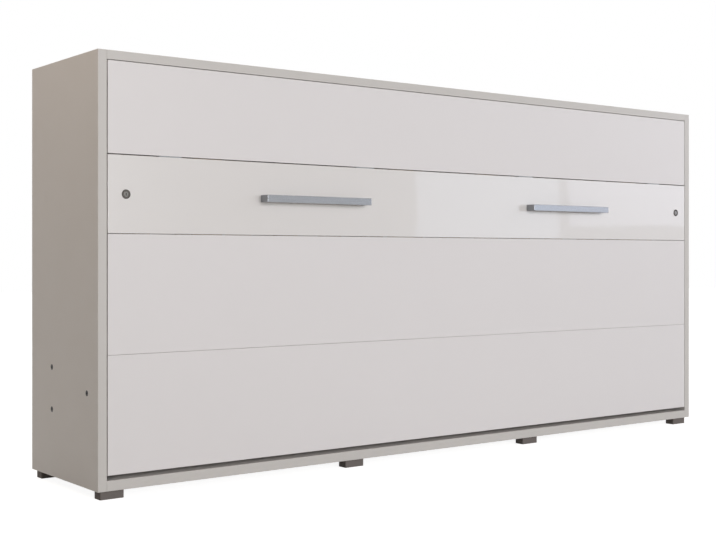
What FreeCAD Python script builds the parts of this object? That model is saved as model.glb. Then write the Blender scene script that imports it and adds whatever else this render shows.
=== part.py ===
"""Cabinet bed: a horizontal fold-down bed in a low cabinet.

Millimetres. +X runs along the cabinet, the front looks along -Y, +Z is up.
The origin is on the floor, under the middle of the closed cabinet and its handles.
"""
import FreeCAD, Part
import math
import os

V = FreeCAD.Vector

# ---------------------------------------------------------------- driving dimensions
# mattress and bed frame
MATTRESS_LENGTH = 2000.0
MATTRESS_WIDTH = 900.0
MATTRESS_THICKNESS = 180.0
MATTRESS_CROWN = 7.0
MATTRESS_SIDE_DRAW = 3.0
MATTRESS_EDGE_RADIUS = 14.0
MATTRESS_CLEARANCE = 2.0
FRAME_THICKNESS = 16.0
FRAME_DEPTH = 119.0
MATTRESS_SINK = 47.0
SLAT_THICKNESS = 14.0
SLAT_WIDTH = 70.0
SLAT_COUNT = 14
SLAT_END_GAP = 2.0
LEDGER_SIZE = 20.0
BATTEN_WIDTH = 80.0
BATTEN_THICKNESS = 16.0
BATTEN_X = (160.0, 770.0)
STRAP_WIDTH = 40.0
STRAP_THICKNESS = 1.2
STRAP_X = 560.0
STRAP_GAP = 0.3

# carcass
SIDE_THICKNESS = 22.0
TOP_THICKNESS = 21.5
BOTTOM_THICKNESS = 24.0
SIDE_GAP = 25.0
SWING_CLEARANCE = 16.5
BEDDING_SPACE = 87.0
REAR_RAIL_THICKNESS = 16.0
REAR_RAIL_HEIGHT = 100.0
BACK_THICKNESS = 3.0
BACK_INSET = 12.0
BACK_GROOVE = 8.0
BACK_GROOVE_CLEARANCE = 0.1
BACK_EDGE_SLACK = 1.0
BACK_JOINT_FLANGE = 12.0
BACK_JOINT_WALL = 1.0
EDGE_RADIUS = 0.8
FOOT_HEIGHT = 20.5
FOOT_LENGTH = 60.0
FOOT_DEPTH = 32.0
FOOT_CORNER_RADIUS = 3.0
FOOT_NECK = 2.0
FOOT_NECK_INSET = 1.5
FOOT_END_INSET = 10.0
FOOT_FRONT_INSET = 10.0
FOOT_REAR_INSET = 6.0
FOOT_INNER_X = 327.0

# front and fold-out leg
FRONT_THICKNESS = 16.0
FRONT_SIDE_GAP = 2.0
FRONT_TOP_GAP = 1.5
FRONT_BOTTOM_GAP = 11.5
UPPER_PANEL_HEIGHT = 213.3
LOWER_PANEL_HEIGHT = 274.9
LEG_HINGE_GAP = 2.2
LEG_LOWER_GAP = 1.2
LOWER_JOINT_GAP = 0.4
LEG_HINGE_INSET = 1.05

# handles
HANDLE_LENGTH = 325.0
HANDLE_HEIGHT = 18.0
HANDLE_PROJECTION = 32.0
HANDLE_BAR = 8.0
HANDLE_POST = 10.0
HANDLE_CENTRE_X = 465.0
HANDLE_EDGE_RADIUS = 1.0

# locks
LOCK_EDGE_DISTANCE = 70.0
LOCK_BEZEL_RADIUS = 11.0
LOCK_BEZEL_PROUD = 1.0
LOCK_BARREL_RADIUS = 9.3
LOCK_HOLE_CLEARANCE = 0.2
LOCK_CYLINDER_RADIUS = 6.0
LOCK_NUT_RADIUS = 13.0
LOCK_NUT_THICKNESS = 3.6
LOCK_CAM_THICKNESS = 2.5
LOCK_CAM_REACH = 44.0
LOCK_CAM_WIDTH = 14.0
LOCK_CAM_HUB_RADIUS = 8.5
LOCK_CAM_GAP = 1.0
LOCK_CAM_AIR = 0.3
LOCK_CAM_NUT = 2.0
LOCK_CAM_NUT_RADIUS = 6.5
LOCK_NECK_RADIUS = 3.5
KEYWAY_WIDTH = 1.8
KEYWAY_HEIGHT = 6.5
KEYWAY_DEPTH = 4.0
STRIKE_THICKNESS = 2.0
STRIKE_GAP = 1.5
STRIKE_REACH = 16.0
STRIKE_HEIGHT = 40.0
STRIKE_PLATE_DEPTH = 30.0
NOTCH_DEPTH = 20.0
NOTCH_MARGIN = 10.0

# pivot, brackets and side bolts
PIVOT_OVER_BOTTOM = 196.5
PIVOT_DEPTH = 60.0
PIVOT_RADIUS = 5.0
PIVOT_BOSS_RADIUS = 10.0
BRACKET_THICKNESS = 3.0
BRACKET_PIVOT_RADIUS = 24.0
BRACKET_CORNER_RADIUS = 16.0
BOLT_BEHIND_PIVOT = 201.0
BOLT_ABOVE_PIVOT = 46.0
BOLT_BELOW_PIVOT = 57.0
BOLT_HEAD_RADIUS = 7.0
BOLT_HEAD_THICKNESS = 3.0
BOLT_HEAD_SINK = 0.3
BOLT_RADIUS = 4.0
BOLT_NUT_RADIUS = 7.5
BOLT_NUT_THICKNESS = 6.5
BOLT_SOCKET_RADIUS = 2.9
BOLT_SOCKET_DEPTH = 2.0
BOLT_END = 1.0
BUSH_WALL = 2.0
BUSH_FLANGE_RADIUS = 11.0
BUSH_FLANGE_THICKNESS = 2.0
BUSH_INSIDE = 2.0
BED_BRACKET_LEAN = 5.0
BED_BRACKET_TOP = 105.0
BED_BRACKET_MIDDLE = 55.0
BED_BRACKET_CORNER_RADIUS = 14.0
PIVOT_WASHER_RADIUS = 10.0
PIVOT_WASHER_THICKNESS = 1.5
PIVOT_NUT_RADIUS = 8.5
PIVOT_NUT_THICKNESS = 8.0
NUT_POCKET_RADIUS = 12.0
BOSS_AXIAL_GAP = 0.1
RUNNING_CLEARANCE = 0.05
SCREW_CLEARANCE = 0.15

# gas struts
STRUT_ANCHOR_BEHIND = 110.0
STRUT_ANCHOR_ABOVE = 205.0
STRUT_STUD_IN_FRONT = 10.0
STRUT_STUD_BELOW = 100.0
STRUT_TUBE_RADIUS = 9.0
STRUT_TUBE_WALL = 1.25
STRUT_TUBE_LENGTH = 165.0
STRUT_TUBE_CAP = 2.5
STRUT_FITTING = 22.0
STRUT_GUIDE = 10.0
STRUT_ROD_RADIUS = 4.0
STRUT_PISTON_LENGTH = 8.0
STRUT_PISTON_GAP = 1.0
STRUT_EYE_RADIUS = 9.0
STRUT_EYE_THICKNESS = 10.0
STRUT_EYE_BORE = 4.0
STRUT_NECK_RADIUS = 5.0
STRUT_OPEN_GAP = 0.3
STRUT_RING_THICKNESS = 1.0
STRUT_RING_RADIUS = 6.0
STRUT_PIN_END = 1.0

# stops
STOP_BEHIND_PIVOT = 160.0
STOP_PIN_RADIUS = 4.0
STOP_SLEEVE_RADIUS = 6.0
STOP_SLEEVE_LENGTH = 16.0
STOP_TOUCH_GAP = 0.3
STOP_PIN_HEAD = 3.0
STOP_PIN_HEAD_RADIUS = 8.0
STOP_END_GAP = 1.5
CLOSED_STOP_WIDTH = 20.0
CLOSED_STOP_DEPTH = 24.0
CLOSED_STOP_HEIGHT = 60.0
CLOSED_STOP_DROP = 60.0

# leg hinges
HINGE_LENGTH = 60.0
HINGE_X = (300.0, 880.0)
HINGE_KNUCKLE_RADIUS = 1.0
HINGE_PIN_RADIUS = 0.5
HINGE_LEAF = 0.5
HINGE_LEAF_DEPTH = 12.5
HINGE_KNUCKLES = 5
HINGE_KNUCKLE_GAP = 0.2

# wood screws, dowels, cam fittings and wall fixing
SCREW_RADIUS = 2.0
SCREW_HEAD_RADIUS = 4.0
HINGE_SCREW_RADIUS = 0.9
HINGE_SCREW_HEAD_RADIUS = 1.5
HINGE_SCREW_LENGTH = 10.0
LEDGER_SCREW_LENGTH = 30.0
STOP_SCREW_LENGTH = 35.0
STRIKE_SCREW_LENGTH = 15.0
BRACKET_SCREW_LENGTH = 16.0
SLAT_SCREW_LENGTH = 28.0
BATTEN_SCREW_LENGTH = 28.0
FRAME_SCREW_LENGTH = 50.0
FOOT_SCREW_LENGTH = 30.0
FOOT_SCREW_SEAT = 8.0
PAN_HEAD_HEIGHT = 2.0
HANDLE_SCREW_ENGAGEMENT = 12.0
DOWEL_RADIUS = 4.0
DOWEL_LENGTH = 30.0
DOWEL_IN_SIDE = 10.0
CAM_FITTING_RADIUS = 7.5
CAM_FITTING_DEPTH = 12.5
CAM_FITTING_INSET = 34.0
CAM_PIN_RADIUS = 3.0
CAM_PIN_IN_SIDE = 10.0
CORNER_FITTING_DEPTHS = (70.0, 300.0)
CORNER_DOWEL_DEPTHS = (120.0, 250.0)
WALL_HOLE_RADIUS = 4.2
WALL_HOLE_X = 800.0
WALL_PLATE_WIDTH = 60.0
WALL_PLATE_HEIGHT = 40.0
WALL_PLATE_THICKNESS = 3.0

# how far a cutting tool runs past the face it cuts, and a length that counts as nothing
PAST = 1.0
TINY = 1e-6

# ---------------------------------------------------------------- derived sizes
END_INNER = MATTRESS_LENGTH / 2 + MATTRESS_CLEARANCE
END_OUTER = END_INNER + FRAME_THICKNESS
INNER_X = END_OUTER + SIDE_GAP
HALF_WIDTH = INNER_X + SIDE_THICKNESS

SEAT_DEPTH = FRONT_THICKNESS + FRAME_DEPTH - MATTRESS_SINK
BODY_DEPTH = (SEAT_DEPTH + MATTRESS_THICKNESS + BEDDING_SPACE + REAR_RAIL_THICKNESS
              + BACK_THICKNESS + BACK_INSET)
FRONT_Y = (HANDLE_PROJECTION - BODY_DEPTH) / 2
REAR_Y = FRONT_Y + BODY_DEPTH

BODY_BOTTOM = FOOT_HEIGHT
FLOOR_TOP = BODY_BOTTOM + BOTTOM_THICKNESS
FRONT_BOTTOM = FLOOR_TOP + FRONT_BOTTOM_GAP
NEAR_INNER = FRONT_BOTTOM + FRAME_THICKNESS
FAR_INNER = NEAR_INNER + MATTRESS_WIDTH + 2 * MATTRESS_CLEARANCE
FAR_OUTER = FAR_INNER + FRAME_THICKNESS
ROOF = FAR_OUTER + SWING_CLEARANCE
BODY_TOP = ROOF + TOP_THICKNESS
FRONT_TOP = ROOF - FRONT_TOP_GAP

FRONT_BACK = FRONT_Y + FRONT_THICKNESS
FRONT_X = INNER_X - FRONT_SIDE_GAP
FRAME_REAR = FRONT_BACK + FRAME_DEPTH
SEAT_Y = FRONT_Y + SEAT_DEPTH
SLAT_FRONT = SEAT_Y - SLAT_THICKNESS
LEDGER_FRONT = SLAT_FRONT - LEDGER_SIZE
MATTRESS_REAR = SEAT_Y + MATTRESS_THICKNESS
BATTEN_REAR = FRONT_BACK + BATTEN_THICKNESS
BACK_REAR = REAR_Y - BACK_INSET
BACK_FRONT = BACK_REAR - BACK_THICKNESS
RAIL_FRONT = BACK_FRONT - REAR_RAIL_THICKNESS

PIVOT_Y = FRONT_Y + PIVOT_DEPTH
PIVOT_Z = FLOOR_TOP + PIVOT_OVER_BOTTOM

LEG_HINGE_Y = FRONT_Y + LEG_HINGE_INSET
LEG_HINGE_Z = FRONT_TOP - UPPER_PANEL_HEIGHT - LEG_HINGE_GAP / 2
LEG_REACH = PIVOT_Z - PIVOT_DEPTH + LEG_HINGE_INSET
LEG_TOP = LEG_HINGE_Z - LEG_HINGE_GAP / 2
LEG_BOTTOM = LEG_HINGE_Z - LEG_REACH
UPPER_BOTTOM = LEG_HINGE_Z + LEG_HINGE_GAP / 2
MIDDLE_TOP = LEG_BOTTOM - LEG_LOWER_GAP
LOWER_TOP = FRONT_BOTTOM + LOWER_PANEL_HEIGHT
MIDDLE_BOTTOM = LOWER_TOP + LOWER_JOINT_GAP
BAND_MIDDLE = (LEG_TOP + LEG_BOTTOM) / 2

LOCK_X = HALF_WIDTH - LOCK_EDGE_DISTANCE
STRIKE_FRONT = FRONT_BACK + STRIKE_GAP
CAM_FRONT = STRIKE_FRONT + STRIKE_THICKNESS + LOCK_CAM_GAP
CAM_REAR = CAM_FRONT + LOCK_CAM_THICKNESS

BRACKET_X = INNER_X
BRACKET_OUTER_X = INNER_X + BRACKET_THICKNESS
BED_BRACKET_X = END_OUTER + BRACKET_THICKNESS
BUSH_RADIUS = PIVOT_RADIUS + RUNNING_CLEARANCE + BUSH_WALL
BUSH_FACE_X = BED_BRACKET_X + BUSH_FLANGE_THICKNESS
STRUT_X = (BED_BRACKET_X + BRACKET_X) / 2
ANCHOR_Y = PIVOT_Y + STRUT_ANCHOR_BEHIND
ANCHOR_Z = PIVOT_Z + STRUT_ANCHOR_ABOVE
STUD_Y = PIVOT_Y - STRUT_STUD_IN_FRONT
STUD_Z = PIVOT_Z - STRUT_STUD_BELOW
STRUT_LENGTH = math.hypot(ANCHOR_Y - STUD_Y, ANCHOR_Z - STUD_Z)
STOP_Y = PIVOT_Y + STOP_BEHIND_PIVOT
STOP_Z = PIVOT_Z + (FRAME_REAR - PIVOT_Y) + STOP_SLEEVE_RADIUS + STOP_TOUCH_GAP


# ---------------------------------------------------------------- helpers
def box(x0, x1, y0, y1, z0, z1):
    """A block between two corners."""
    return Part.makeBox(x1 - x0, y1 - y0, z1 - z0, V(x0, y0, z0))


def eased(shape, radius, picks):
    """Round the edges whose middle passes the test."""
    edges = [edge for edge in shape.Edges if picks(edge.CenterOfMass)]
    return shape.makeFillet(radius, edges)


def front_eased(board):
    """Round the edges of a board's front face."""
    front = board.BoundBox.YMin
    return eased(board, EDGE_RADIUS, lambda c: abs(c.y - front) < TINY)


def rod_x(x0, x1, y, z, radius):
    """A round bar along X."""
    return Part.makeCylinder(radius, x1 - x0, V(x0, y, z), V(1, 0, 0))


def rod_y(x, y0, y1, z, radius):
    """A round bar along Y."""
    return Part.makeCylinder(radius, y1 - y0, V(x, y0, z), V(0, 1, 0))


def rod_z(x, y, z0, z1, radius):
    """A round bar along Z."""
    return Part.makeCylinder(radius, z1 - z0, V(x, y, z0), V(0, 0, 1))


def hexagon(centre, direction, radius, height):
    """A hexagonal prism, with the radius measured to its corners."""
    angles = [math.radians(60 * i) for i in range(7)]
    outline = Part.makePolygon([V(radius * math.cos(a), radius * math.sin(a), 0) for a in angles])
    prism = Part.Face(outline).extrude(V(0, 0, height))
    prism.Placement = FreeCAD.Placement(centre, FreeCAD.Rotation(V(0, 0, 1), direction))
    return prism


def mirrored(shape):
    """The same piece on the other side of the cabinet."""
    return shape.mirror(V(0, 0, 0), V(1, 0, 0))


def both(shape):
    """A right-hand piece with its mirror image."""
    return [shape, mirrored(shape)]


def cut_all(shape, tools):
    """Take every tool away from a shape."""
    return shape.cut(Part.makeCompound(tools))


def hull_plate(x0, x1, circles):
    """A flat plate across X whose outline wraps circles (y, z, radius), in order round it."""
    count = len(circles)
    leave = []
    for i in range(count):
        y0, z0, r0 = circles[i]
        y1, z1, r1 = circles[(i + 1) % count]
        lean = math.acos((r0 - r1) / math.hypot(y1 - y0, z1 - z0))
        leave.append(math.atan2(z1 - z0, y1 - y0) - lean)
    arcs = []
    for i in range(count):
        y, z, radius = circles[i]
        start = leave[i - 1]
        end = leave[i]
        while end < start:
            end += 2 * math.pi
        angles = (start, (start + end) / 2, end)
        arcs.append([V(x0, y + radius * math.cos(a), z + radius * math.sin(a)) for a in angles])
    edges = []
    for i in range(count):
        edges.append(Part.Arc(*arcs[i]).toShape())
        edges.append(Part.LineSegment(arcs[i][2], arcs[(i + 1) % count][0]).toShape())
    return Part.Face(Part.Wire(edges)).extrude(V(x1 - x0, 0, 0))


def screw(start, direction, length, radius=SCREW_RADIUS, head=SCREW_HEAD_RADIUS, grow=0.0):
    """A countersunk screw, flush at its start; grow makes the hole that it fits."""
    depth = head - radius
    cone = Part.makeCone(head + grow, radius + grow, depth, start, direction)
    shank = Part.makeCylinder(radius + grow, length + grow, start, direction)
    return cone.fuse(shank).removeSplitter()


def screws(spots, direction, length):
    """Wood screws at several places."""
    return [screw(spot, direction, length) for spot in spots]


def screw_holes(spots, direction, length):
    """The holes for the same screws."""
    return [screw(spot, direction, length, grow=SCREW_CLEARANCE) for spot in spots]


def save(name, solids):
    """Write one sub-part: a single solid, or a group of separate ones."""
    flat = [solid for shape in solids for solid in shape.Solids]
    shape = flat[0] if len(flat) == 1 else Part.makeCompound(flat)
    shape.exportStep("parts/%s.step" % name)
    faulty = [solid for solid in flat if not solid.isValid()]
    print("%-24s %3d solids %12.0f mm3 %s" % (name, len(flat), shape.Volume, "FAULTY" if faulty else ""))


RIGHT = V(1, 0, 0)
LEFT = V(-1, 0, 0)
REAR = V(0, 1, 0)
FRONT = V(0, -1, 0)
UP = V(0, 0, 1)
DOWN = V(0, 0, -1)


# ---------------------------------------------------------------- places that pieces share
def slat_centres():
    """X of each slat's middle, evenly spaced between the end boards."""
    pitch = 2 * END_INNER / SLAT_COUNT
    return [-END_INNER + pitch * (i + 0.5) for i in range(SLAT_COUNT)]


def slat_screw_spots():
    """Start of each slat screw, on the slat over each ledger."""
    lines = (NEAR_INNER + LEDGER_SIZE / 2, FAR_INNER - LEDGER_SIZE / 2)
    return [V(x, SEAT_Y, z) for x in slat_centres() for z in lines]


def ledger_screw_spots(z):
    """Start of the screws that hold one ledger to its rail, between every second pair of slats."""
    centres = slat_centres()
    gaps = [(a + b) / 2 for a, b in zip(centres, centres[1:])]
    return [V(x, (LEDGER_FRONT + SLAT_FRONT) / 2, z) for x in gaps[::2]]


def batten_centres():
    """X of each cross batten's middle."""
    return [side * x for x in BATTEN_X for side in (-1, 1)]


def batten_screw_spots():
    """Start of the screws through each batten into each fixed front board."""
    levels = ((NEAR_INNER + LOWER_TOP) / 2, (MIDDLE_BOTTOM + MIDDLE_TOP) / 2,
              (UPPER_BOTTOM + FAR_INNER) / 2)
    offset = BATTEN_WIDTH / 4
    return [V(x + side * offset, BATTEN_REAR, z)
            for x in batten_centres() for z in levels for side in (-1, 1)]


def rail_end_spots():
    """Start of the screws through the right end board into the two rails."""
    levels = (NEAR_INNER - FRAME_THICKNESS / 2, FAR_OUTER - FRAME_THICKNESS / 2)
    depths = (FRONT_BACK + FRAME_DEPTH / 4, FRONT_BACK + FRAME_DEPTH * 3 / 4)
    return [V(END_OUTER, y, z) for z in levels for y in depths]


def batten_end_spots(z):
    """Start of the screws through one rail into the battens' ends."""
    return [V(x, (FRONT_BACK + BATTEN_REAR) / 2, z) for x in batten_centres()]


def bed_bracket_screw_spots():
    """Start of the screws through the right bed bracket into its end board."""
    lifts = (BED_BRACKET_MIDDLE, BED_BRACKET_TOP, -STRUT_STUD_BELOW / 2)
    return [V(BED_BRACKET_X, PIVOT_Y + BED_BRACKET_LEAN, PIVOT_Z + lift) for lift in lifts]


def foot_centres():
    """Middle of each foot: the front row, then the rear row."""
    outer = HALF_WIDTH - FOOT_END_INSET - FOOT_LENGTH / 2
    xs = (-outer, -FOOT_INNER_X, FOOT_INNER_X, outer)
    front = FRONT_Y + FOOT_FRONT_INSET + FOOT_DEPTH / 2
    rear = REAR_Y - FOOT_REAR_INSET - FOOT_DEPTH / 2
    return [(x, front) for x in xs], [(x, rear) for x in xs]


def wall_hole_spots():
    """Centres of the wall fixings in the rear rails, as (x, z)."""
    levels = (FLOOR_TOP + REAR_RAIL_HEIGHT / 2, ROOF - REAR_RAIL_HEIGHT / 2)
    return [(x, z) for z in levels for x in (-WALL_HOLE_X, WALL_HOLE_X)]


def side_bolt_spots():
    """The two bolts behind the pivot, as (y, z)."""
    y = PIVOT_Y + BOLT_BEHIND_PIVOT
    return [(y, PIVOT_Z - BOLT_BELOW_PIVOT), (y, PIVOT_Z + BOLT_ABOVE_PIVOT)]


def handle_post_spots():
    """X of each handle's two posts, handle by handle."""
    reach = (HANDLE_LENGTH - HANDLE_POST) / 2
    return [(side * HANDLE_CENTRE_X - reach, side * HANDLE_CENTRE_X + reach) for side in (-1, 1)]


def strike_screw_spots():
    """Start of the screws that hold the right strike to the side panel."""
    y = (STRIKE_FRONT + STRIKE_THICKNESS + STRIKE_FRONT + STRIKE_PLATE_DEPTH) / 2
    lift = STRIKE_HEIGHT / 2 - 2 * SCREW_HEAD_RADIUS
    return [V(INNER_X - STRIKE_THICKNESS, y, BAND_MIDDLE + side * lift) for side in (-1, 1)]


def closed_stop_screw_spots():
    """Start of the screws that hold the right closed stop to the side panel."""
    middle = FRONT_TOP - CLOSED_STOP_DROP - CLOSED_STOP_HEIGHT / 2
    lift = CLOSED_STOP_HEIGHT / 4
    y = FRONT_BACK + CLOSED_STOP_DEPTH / 2
    return [V(INNER_X - CLOSED_STOP_WIDTH, y, middle + side * lift) for side in (-1, 1)]


# ---------------------------------------------------------------- carcass
def bracket_outline(x0, x1, grow=0.0):
    """The cabinet bracket's outline round the pivot, the two side bolts and the strut anchor."""
    low, high = side_bolt_spots()
    corner = BRACKET_CORNER_RADIUS + grow
    return hull_plate(x0, x1, [(PIVOT_Y, PIVOT_Z, BRACKET_PIVOT_RADIUS + grow), (low[0], low[1], corner),
                               (high[0], high[1], corner), (ANCHOR_Y, ANCHOR_Z, corner)])


def back_groove(x0, x1, z0, z1):
    """Space for the back boards' edges."""
    return box(x0, x1, BACK_FRONT - BACK_GROOVE_CLEARANCE, BACK_REAR + BACK_GROOVE_CLEARANCE, z0, z1)


def side_panel():
    """Right side panel: full height, with its groove, bracket pocket and drilled holes."""
    panel = box(INNER_X, HALF_WIDTH, FRONT_Y, REAR_Y, BODY_BOTTOM, BODY_TOP)
    panel = eased(panel, EDGE_RADIUS, lambda c: c.y < FRONT_Y + TINY or c.x > HALF_WIDTH - TINY)
    clear = SCREW_CLEARANCE
    cuts = [back_groove(INNER_X - PAST, INNER_X + BACK_GROOVE, BODY_BOTTOM - PAST, BODY_TOP + PAST),
            bracket_outline(INNER_X - PAST, BRACKET_OUTER_X, clear)]
    seat = HALF_WIDTH - BOLT_HEAD_SINK - BOLT_HEAD_THICKNESS
    for y, z in [(PIVOT_Y, PIVOT_Z)] + side_bolt_spots():
        radius = PIVOT_RADIUS if y == PIVOT_Y else BOLT_RADIUS
        cuts.append(rod_x(INNER_X, HALF_WIDTH + PAST, y, z, radius + clear))
        cuts.append(rod_x(seat, HALF_WIDTH + PAST, y, z, BOLT_HEAD_RADIUS + clear))
    cuts.append(rod_x(BRACKET_OUTER_X, BRACKET_OUTER_X + STOP_PIN_HEAD, STOP_Y, STOP_Z,
                      STOP_PIN_HEAD_RADIUS + clear))
    for level in (BODY_BOTTOM + BOTTOM_THICKNESS / 2, ROOF + TOP_THICKNESS / 2):
        for d in CORNER_FITTING_DEPTHS:
            cuts.append(rod_x(INNER_X - PAST, INNER_X + CAM_PIN_IN_SIDE, FRONT_Y + d, level,
                              CAM_PIN_RADIUS + clear))
        for d in CORNER_DOWEL_DEPTHS:
            cuts.append(rod_x(INNER_X - PAST, INNER_X + DOWEL_IN_SIDE, FRONT_Y + d, level,
                              DOWEL_RADIUS + clear))
    cuts += screw_holes(strike_screw_spots(), RIGHT, STRIKE_SCREW_LENGTH)
    cuts += screw_holes(closed_stop_screw_spots(), RIGHT, STOP_SCREW_LENGTH)
    return cut_all(panel, cuts)


def corner_joint(level, face):
    """Right-hand cams, pins and dowels of a flat panel whose cams open on the given lower face."""
    fittings = []
    dowels = []
    cam_x = INNER_X - CAM_FITTING_INSET
    for d in CORNER_FITTING_DEPTHS:
        fittings.append(rod_z(cam_x, FRONT_Y + d, face, face + CAM_FITTING_DEPTH, CAM_FITTING_RADIUS))
        fittings.append(rod_x(cam_x + CAM_FITTING_RADIUS, INNER_X + CAM_PIN_IN_SIDE, FRONT_Y + d, level,
                              CAM_PIN_RADIUS))
    for d in CORNER_DOWEL_DEPTHS:
        dowels.append(rod_x(INNER_X + DOWEL_IN_SIDE - DOWEL_LENGTH, INNER_X + DOWEL_IN_SIDE, FRONT_Y + d,
                            level, DOWEL_RADIUS))
    return fittings, dowels


def corner_joint_cuts(level, face):
    """The holes for the same cams, pins and dowels at both ends of the panel."""
    clear = SCREW_CLEARANCE
    cuts = []
    cam_x = INNER_X - CAM_FITTING_INSET
    for d in CORNER_FITTING_DEPTHS:
        cuts.append(rod_z(cam_x, FRONT_Y + d, face - PAST, face + CAM_FITTING_DEPTH,
                          CAM_FITTING_RADIUS + clear))
        cuts.append(rod_x(cam_x, INNER_X + PAST, FRONT_Y + d, level, CAM_PIN_RADIUS + clear))
    for d in CORNER_DOWEL_DEPTHS:
        cuts.append(rod_x(INNER_X + DOWEL_IN_SIDE - DOWEL_LENGTH - clear, INNER_X + PAST, FRONT_Y + d, level,
                          DOWEL_RADIUS + clear))
    return cuts + [mirrored(cut) for cut in cuts]


def flat_panel(z0, z1, groove_low, groove_high):
    """Top or bottom panel between the sides, with corner joints and the back groove."""
    panel = front_eased(box(-INNER_X, INNER_X, FRONT_Y, REAR_Y, z0, z1))
    cuts = corner_joint_cuts((z0 + z1) / 2, z0)
    cuts.append(back_groove(-INNER_X - PAST, INNER_X + PAST, groove_low, groove_high))
    return cut_all(panel, cuts)


def bottom_panel():
    """Bottom panel, drilled for the foot screws."""
    panel = flat_panel(BODY_BOTTOM, FLOOR_TOP, FLOOR_TOP - BACK_GROOVE, FLOOR_TOP + PAST)
    front, rear = foot_centres()
    holes = [rod_z(x, y, BODY_BOTTOM - PAST, FOOT_SCREW_SEAT + FOOT_SCREW_LENGTH + SCREW_CLEARANCE,
                   SCREW_RADIUS + SCREW_CLEARANCE) for x, y in front + rear]
    return cut_all(panel, holes)


def rear_rail(z0, z1):
    """A rail in front of the back boards, bored for the wall fixings."""
    holes = [rod_y(x, RAIL_FRONT - PAST, BACK_FRONT + PAST, z, WALL_HOLE_RADIUS) for x,
             z in wall_hole_spots()]
    return cut_all(box(-INNER_X, INNER_X, RAIL_FRONT, BACK_FRONT, z0, z1), holes)


def back_panel():
    """Right back board, held in the grooves and in the joint profile."""
    slack = BACK_GROOVE - BACK_EDGE_SLACK
    board = box(BACK_JOINT_WALL / 2, INNER_X + slack, BACK_FRONT, BACK_REAR, FLOOR_TOP - slack, ROOF + slack)
    holes = [rod_y(x, BACK_FRONT - PAST, BACK_REAR + PAST, z, WALL_HOLE_RADIUS) for x, z in wall_hole_spots()]
    return cut_all(board, holes)


def back_joint_profile():
    """H-section between the two back boards, from rail to rail."""
    low = FLOOR_TOP + REAR_RAIL_HEIGHT
    high = ROOF - REAR_RAIL_HEIGHT
    half = BACK_JOINT_WALL / 2
    web = box(-half, half, BACK_FRONT, BACK_REAR, low, high)
    front = box(-BACK_JOINT_FLANGE, BACK_JOINT_FLANGE, BACK_FRONT - BACK_JOINT_WALL, BACK_FRONT, low, high)
    rear = box(-BACK_JOINT_FLANGE, BACK_JOINT_FLANGE, BACK_REAR, BACK_REAR + BACK_JOINT_WALL, low, high)
    return web.fuse([front, rear]).removeSplitter()


def wall_plates():
    """Steel plates that spread the wall fixings' load on the rails."""
    plates = []
    for x, z in wall_hole_spots():
        plate = box(x - WALL_PLATE_WIDTH / 2, x + WALL_PLATE_WIDTH / 2, RAIL_FRONT - WALL_PLATE_THICKNESS,
                    RAIL_FRONT, z - WALL_PLATE_HEIGHT / 2, z + WALL_PLATE_HEIGHT / 2)
        plates.append(plate.cut(rod_y(x, RAIL_FRONT - 2 * WALL_PLATE_THICKNESS, RAIL_FRONT + PAST, z,
                                      WALL_HOLE_RADIUS)))
    return plates


def foot(x, y):
    """A moulded foot: rounded block with a narrower neck, bored and recessed for its screw."""
    half_x = FOOT_LENGTH / 2
    half_y = FOOT_DEPTH / 2
    neck_z = FOOT_HEIGHT - FOOT_NECK
    block = box(x - half_x, x + half_x, y - half_y, y + half_y, 0, neck_z)
    block = eased(block, FOOT_CORNER_RADIUS, lambda c: abs(abs(c.x - x) - half_x) < TINY
                  and abs(abs(c.y - y) - half_y) < TINY)
    inset = FOOT_NECK_INSET
    neck = box(x - half_x + inset, x + half_x - inset, y - half_y + inset, y + half_y - inset, neck_z,
               FOOT_HEIGHT)
    neck = eased(neck, FOOT_CORNER_RADIUS - inset, lambda c: abs(c.z - neck_z - FOOT_NECK / 2) < TINY)
    body = block.fuse(neck)
    bore = rod_z(x, y, -1, FOOT_HEIGHT + PAST, SCREW_RADIUS + SCREW_CLEARANCE)
    recess = rod_z(x, y, -1, FOOT_SCREW_SEAT, SCREW_HEAD_RADIUS + SCREW_CLEARANCE)
    return cut_all(body, [bore, recess])


def foot_screws():
    """Pan-head screws up through the feet into the bottom panel."""
    front, rear = foot_centres()
    made = []
    for x, y in front + rear:
        head = rod_z(x, y, FOOT_SCREW_SEAT - PAN_HEAD_HEIGHT, FOOT_SCREW_SEAT, SCREW_HEAD_RADIUS)
        made.append(head.fuse(rod_z(x, y, FOOT_SCREW_SEAT, FOOT_SCREW_SEAT + FOOT_SCREW_LENGTH,
                                    SCREW_RADIUS)))
    return made


def closed_stop():
    """Block on the right side panel that the closed front rests against."""
    top = FRONT_TOP - CLOSED_STOP_DROP
    block = box(INNER_X - CLOSED_STOP_WIDTH, INNER_X, FRONT_BACK, FRONT_BACK + CLOSED_STOP_DEPTH,
                top - CLOSED_STOP_HEIGHT, top)
    return cut_all(block, screw_holes(closed_stop_screw_spots(), RIGHT, STOP_SCREW_LENGTH))


def strike():
    """Angle on the right side panel with the tab that the turned cam catches."""
    low = BAND_MIDDLE - STRIKE_HEIGHT / 2
    high = BAND_MIDDLE + STRIKE_HEIGHT / 2
    tab = box(INNER_X - STRIKE_REACH, INNER_X, STRIKE_FRONT, STRIKE_FRONT + STRIKE_THICKNESS, low, high)
    plate = box(INNER_X - STRIKE_THICKNESS, INNER_X, STRIKE_FRONT, STRIKE_FRONT + STRIKE_PLATE_DEPTH, low,
                high)
    angle = tab.fuse(plate).removeSplitter()
    return cut_all(angle, screw_holes(strike_screw_spots(), RIGHT, STRIKE_SCREW_LENGTH))


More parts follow.
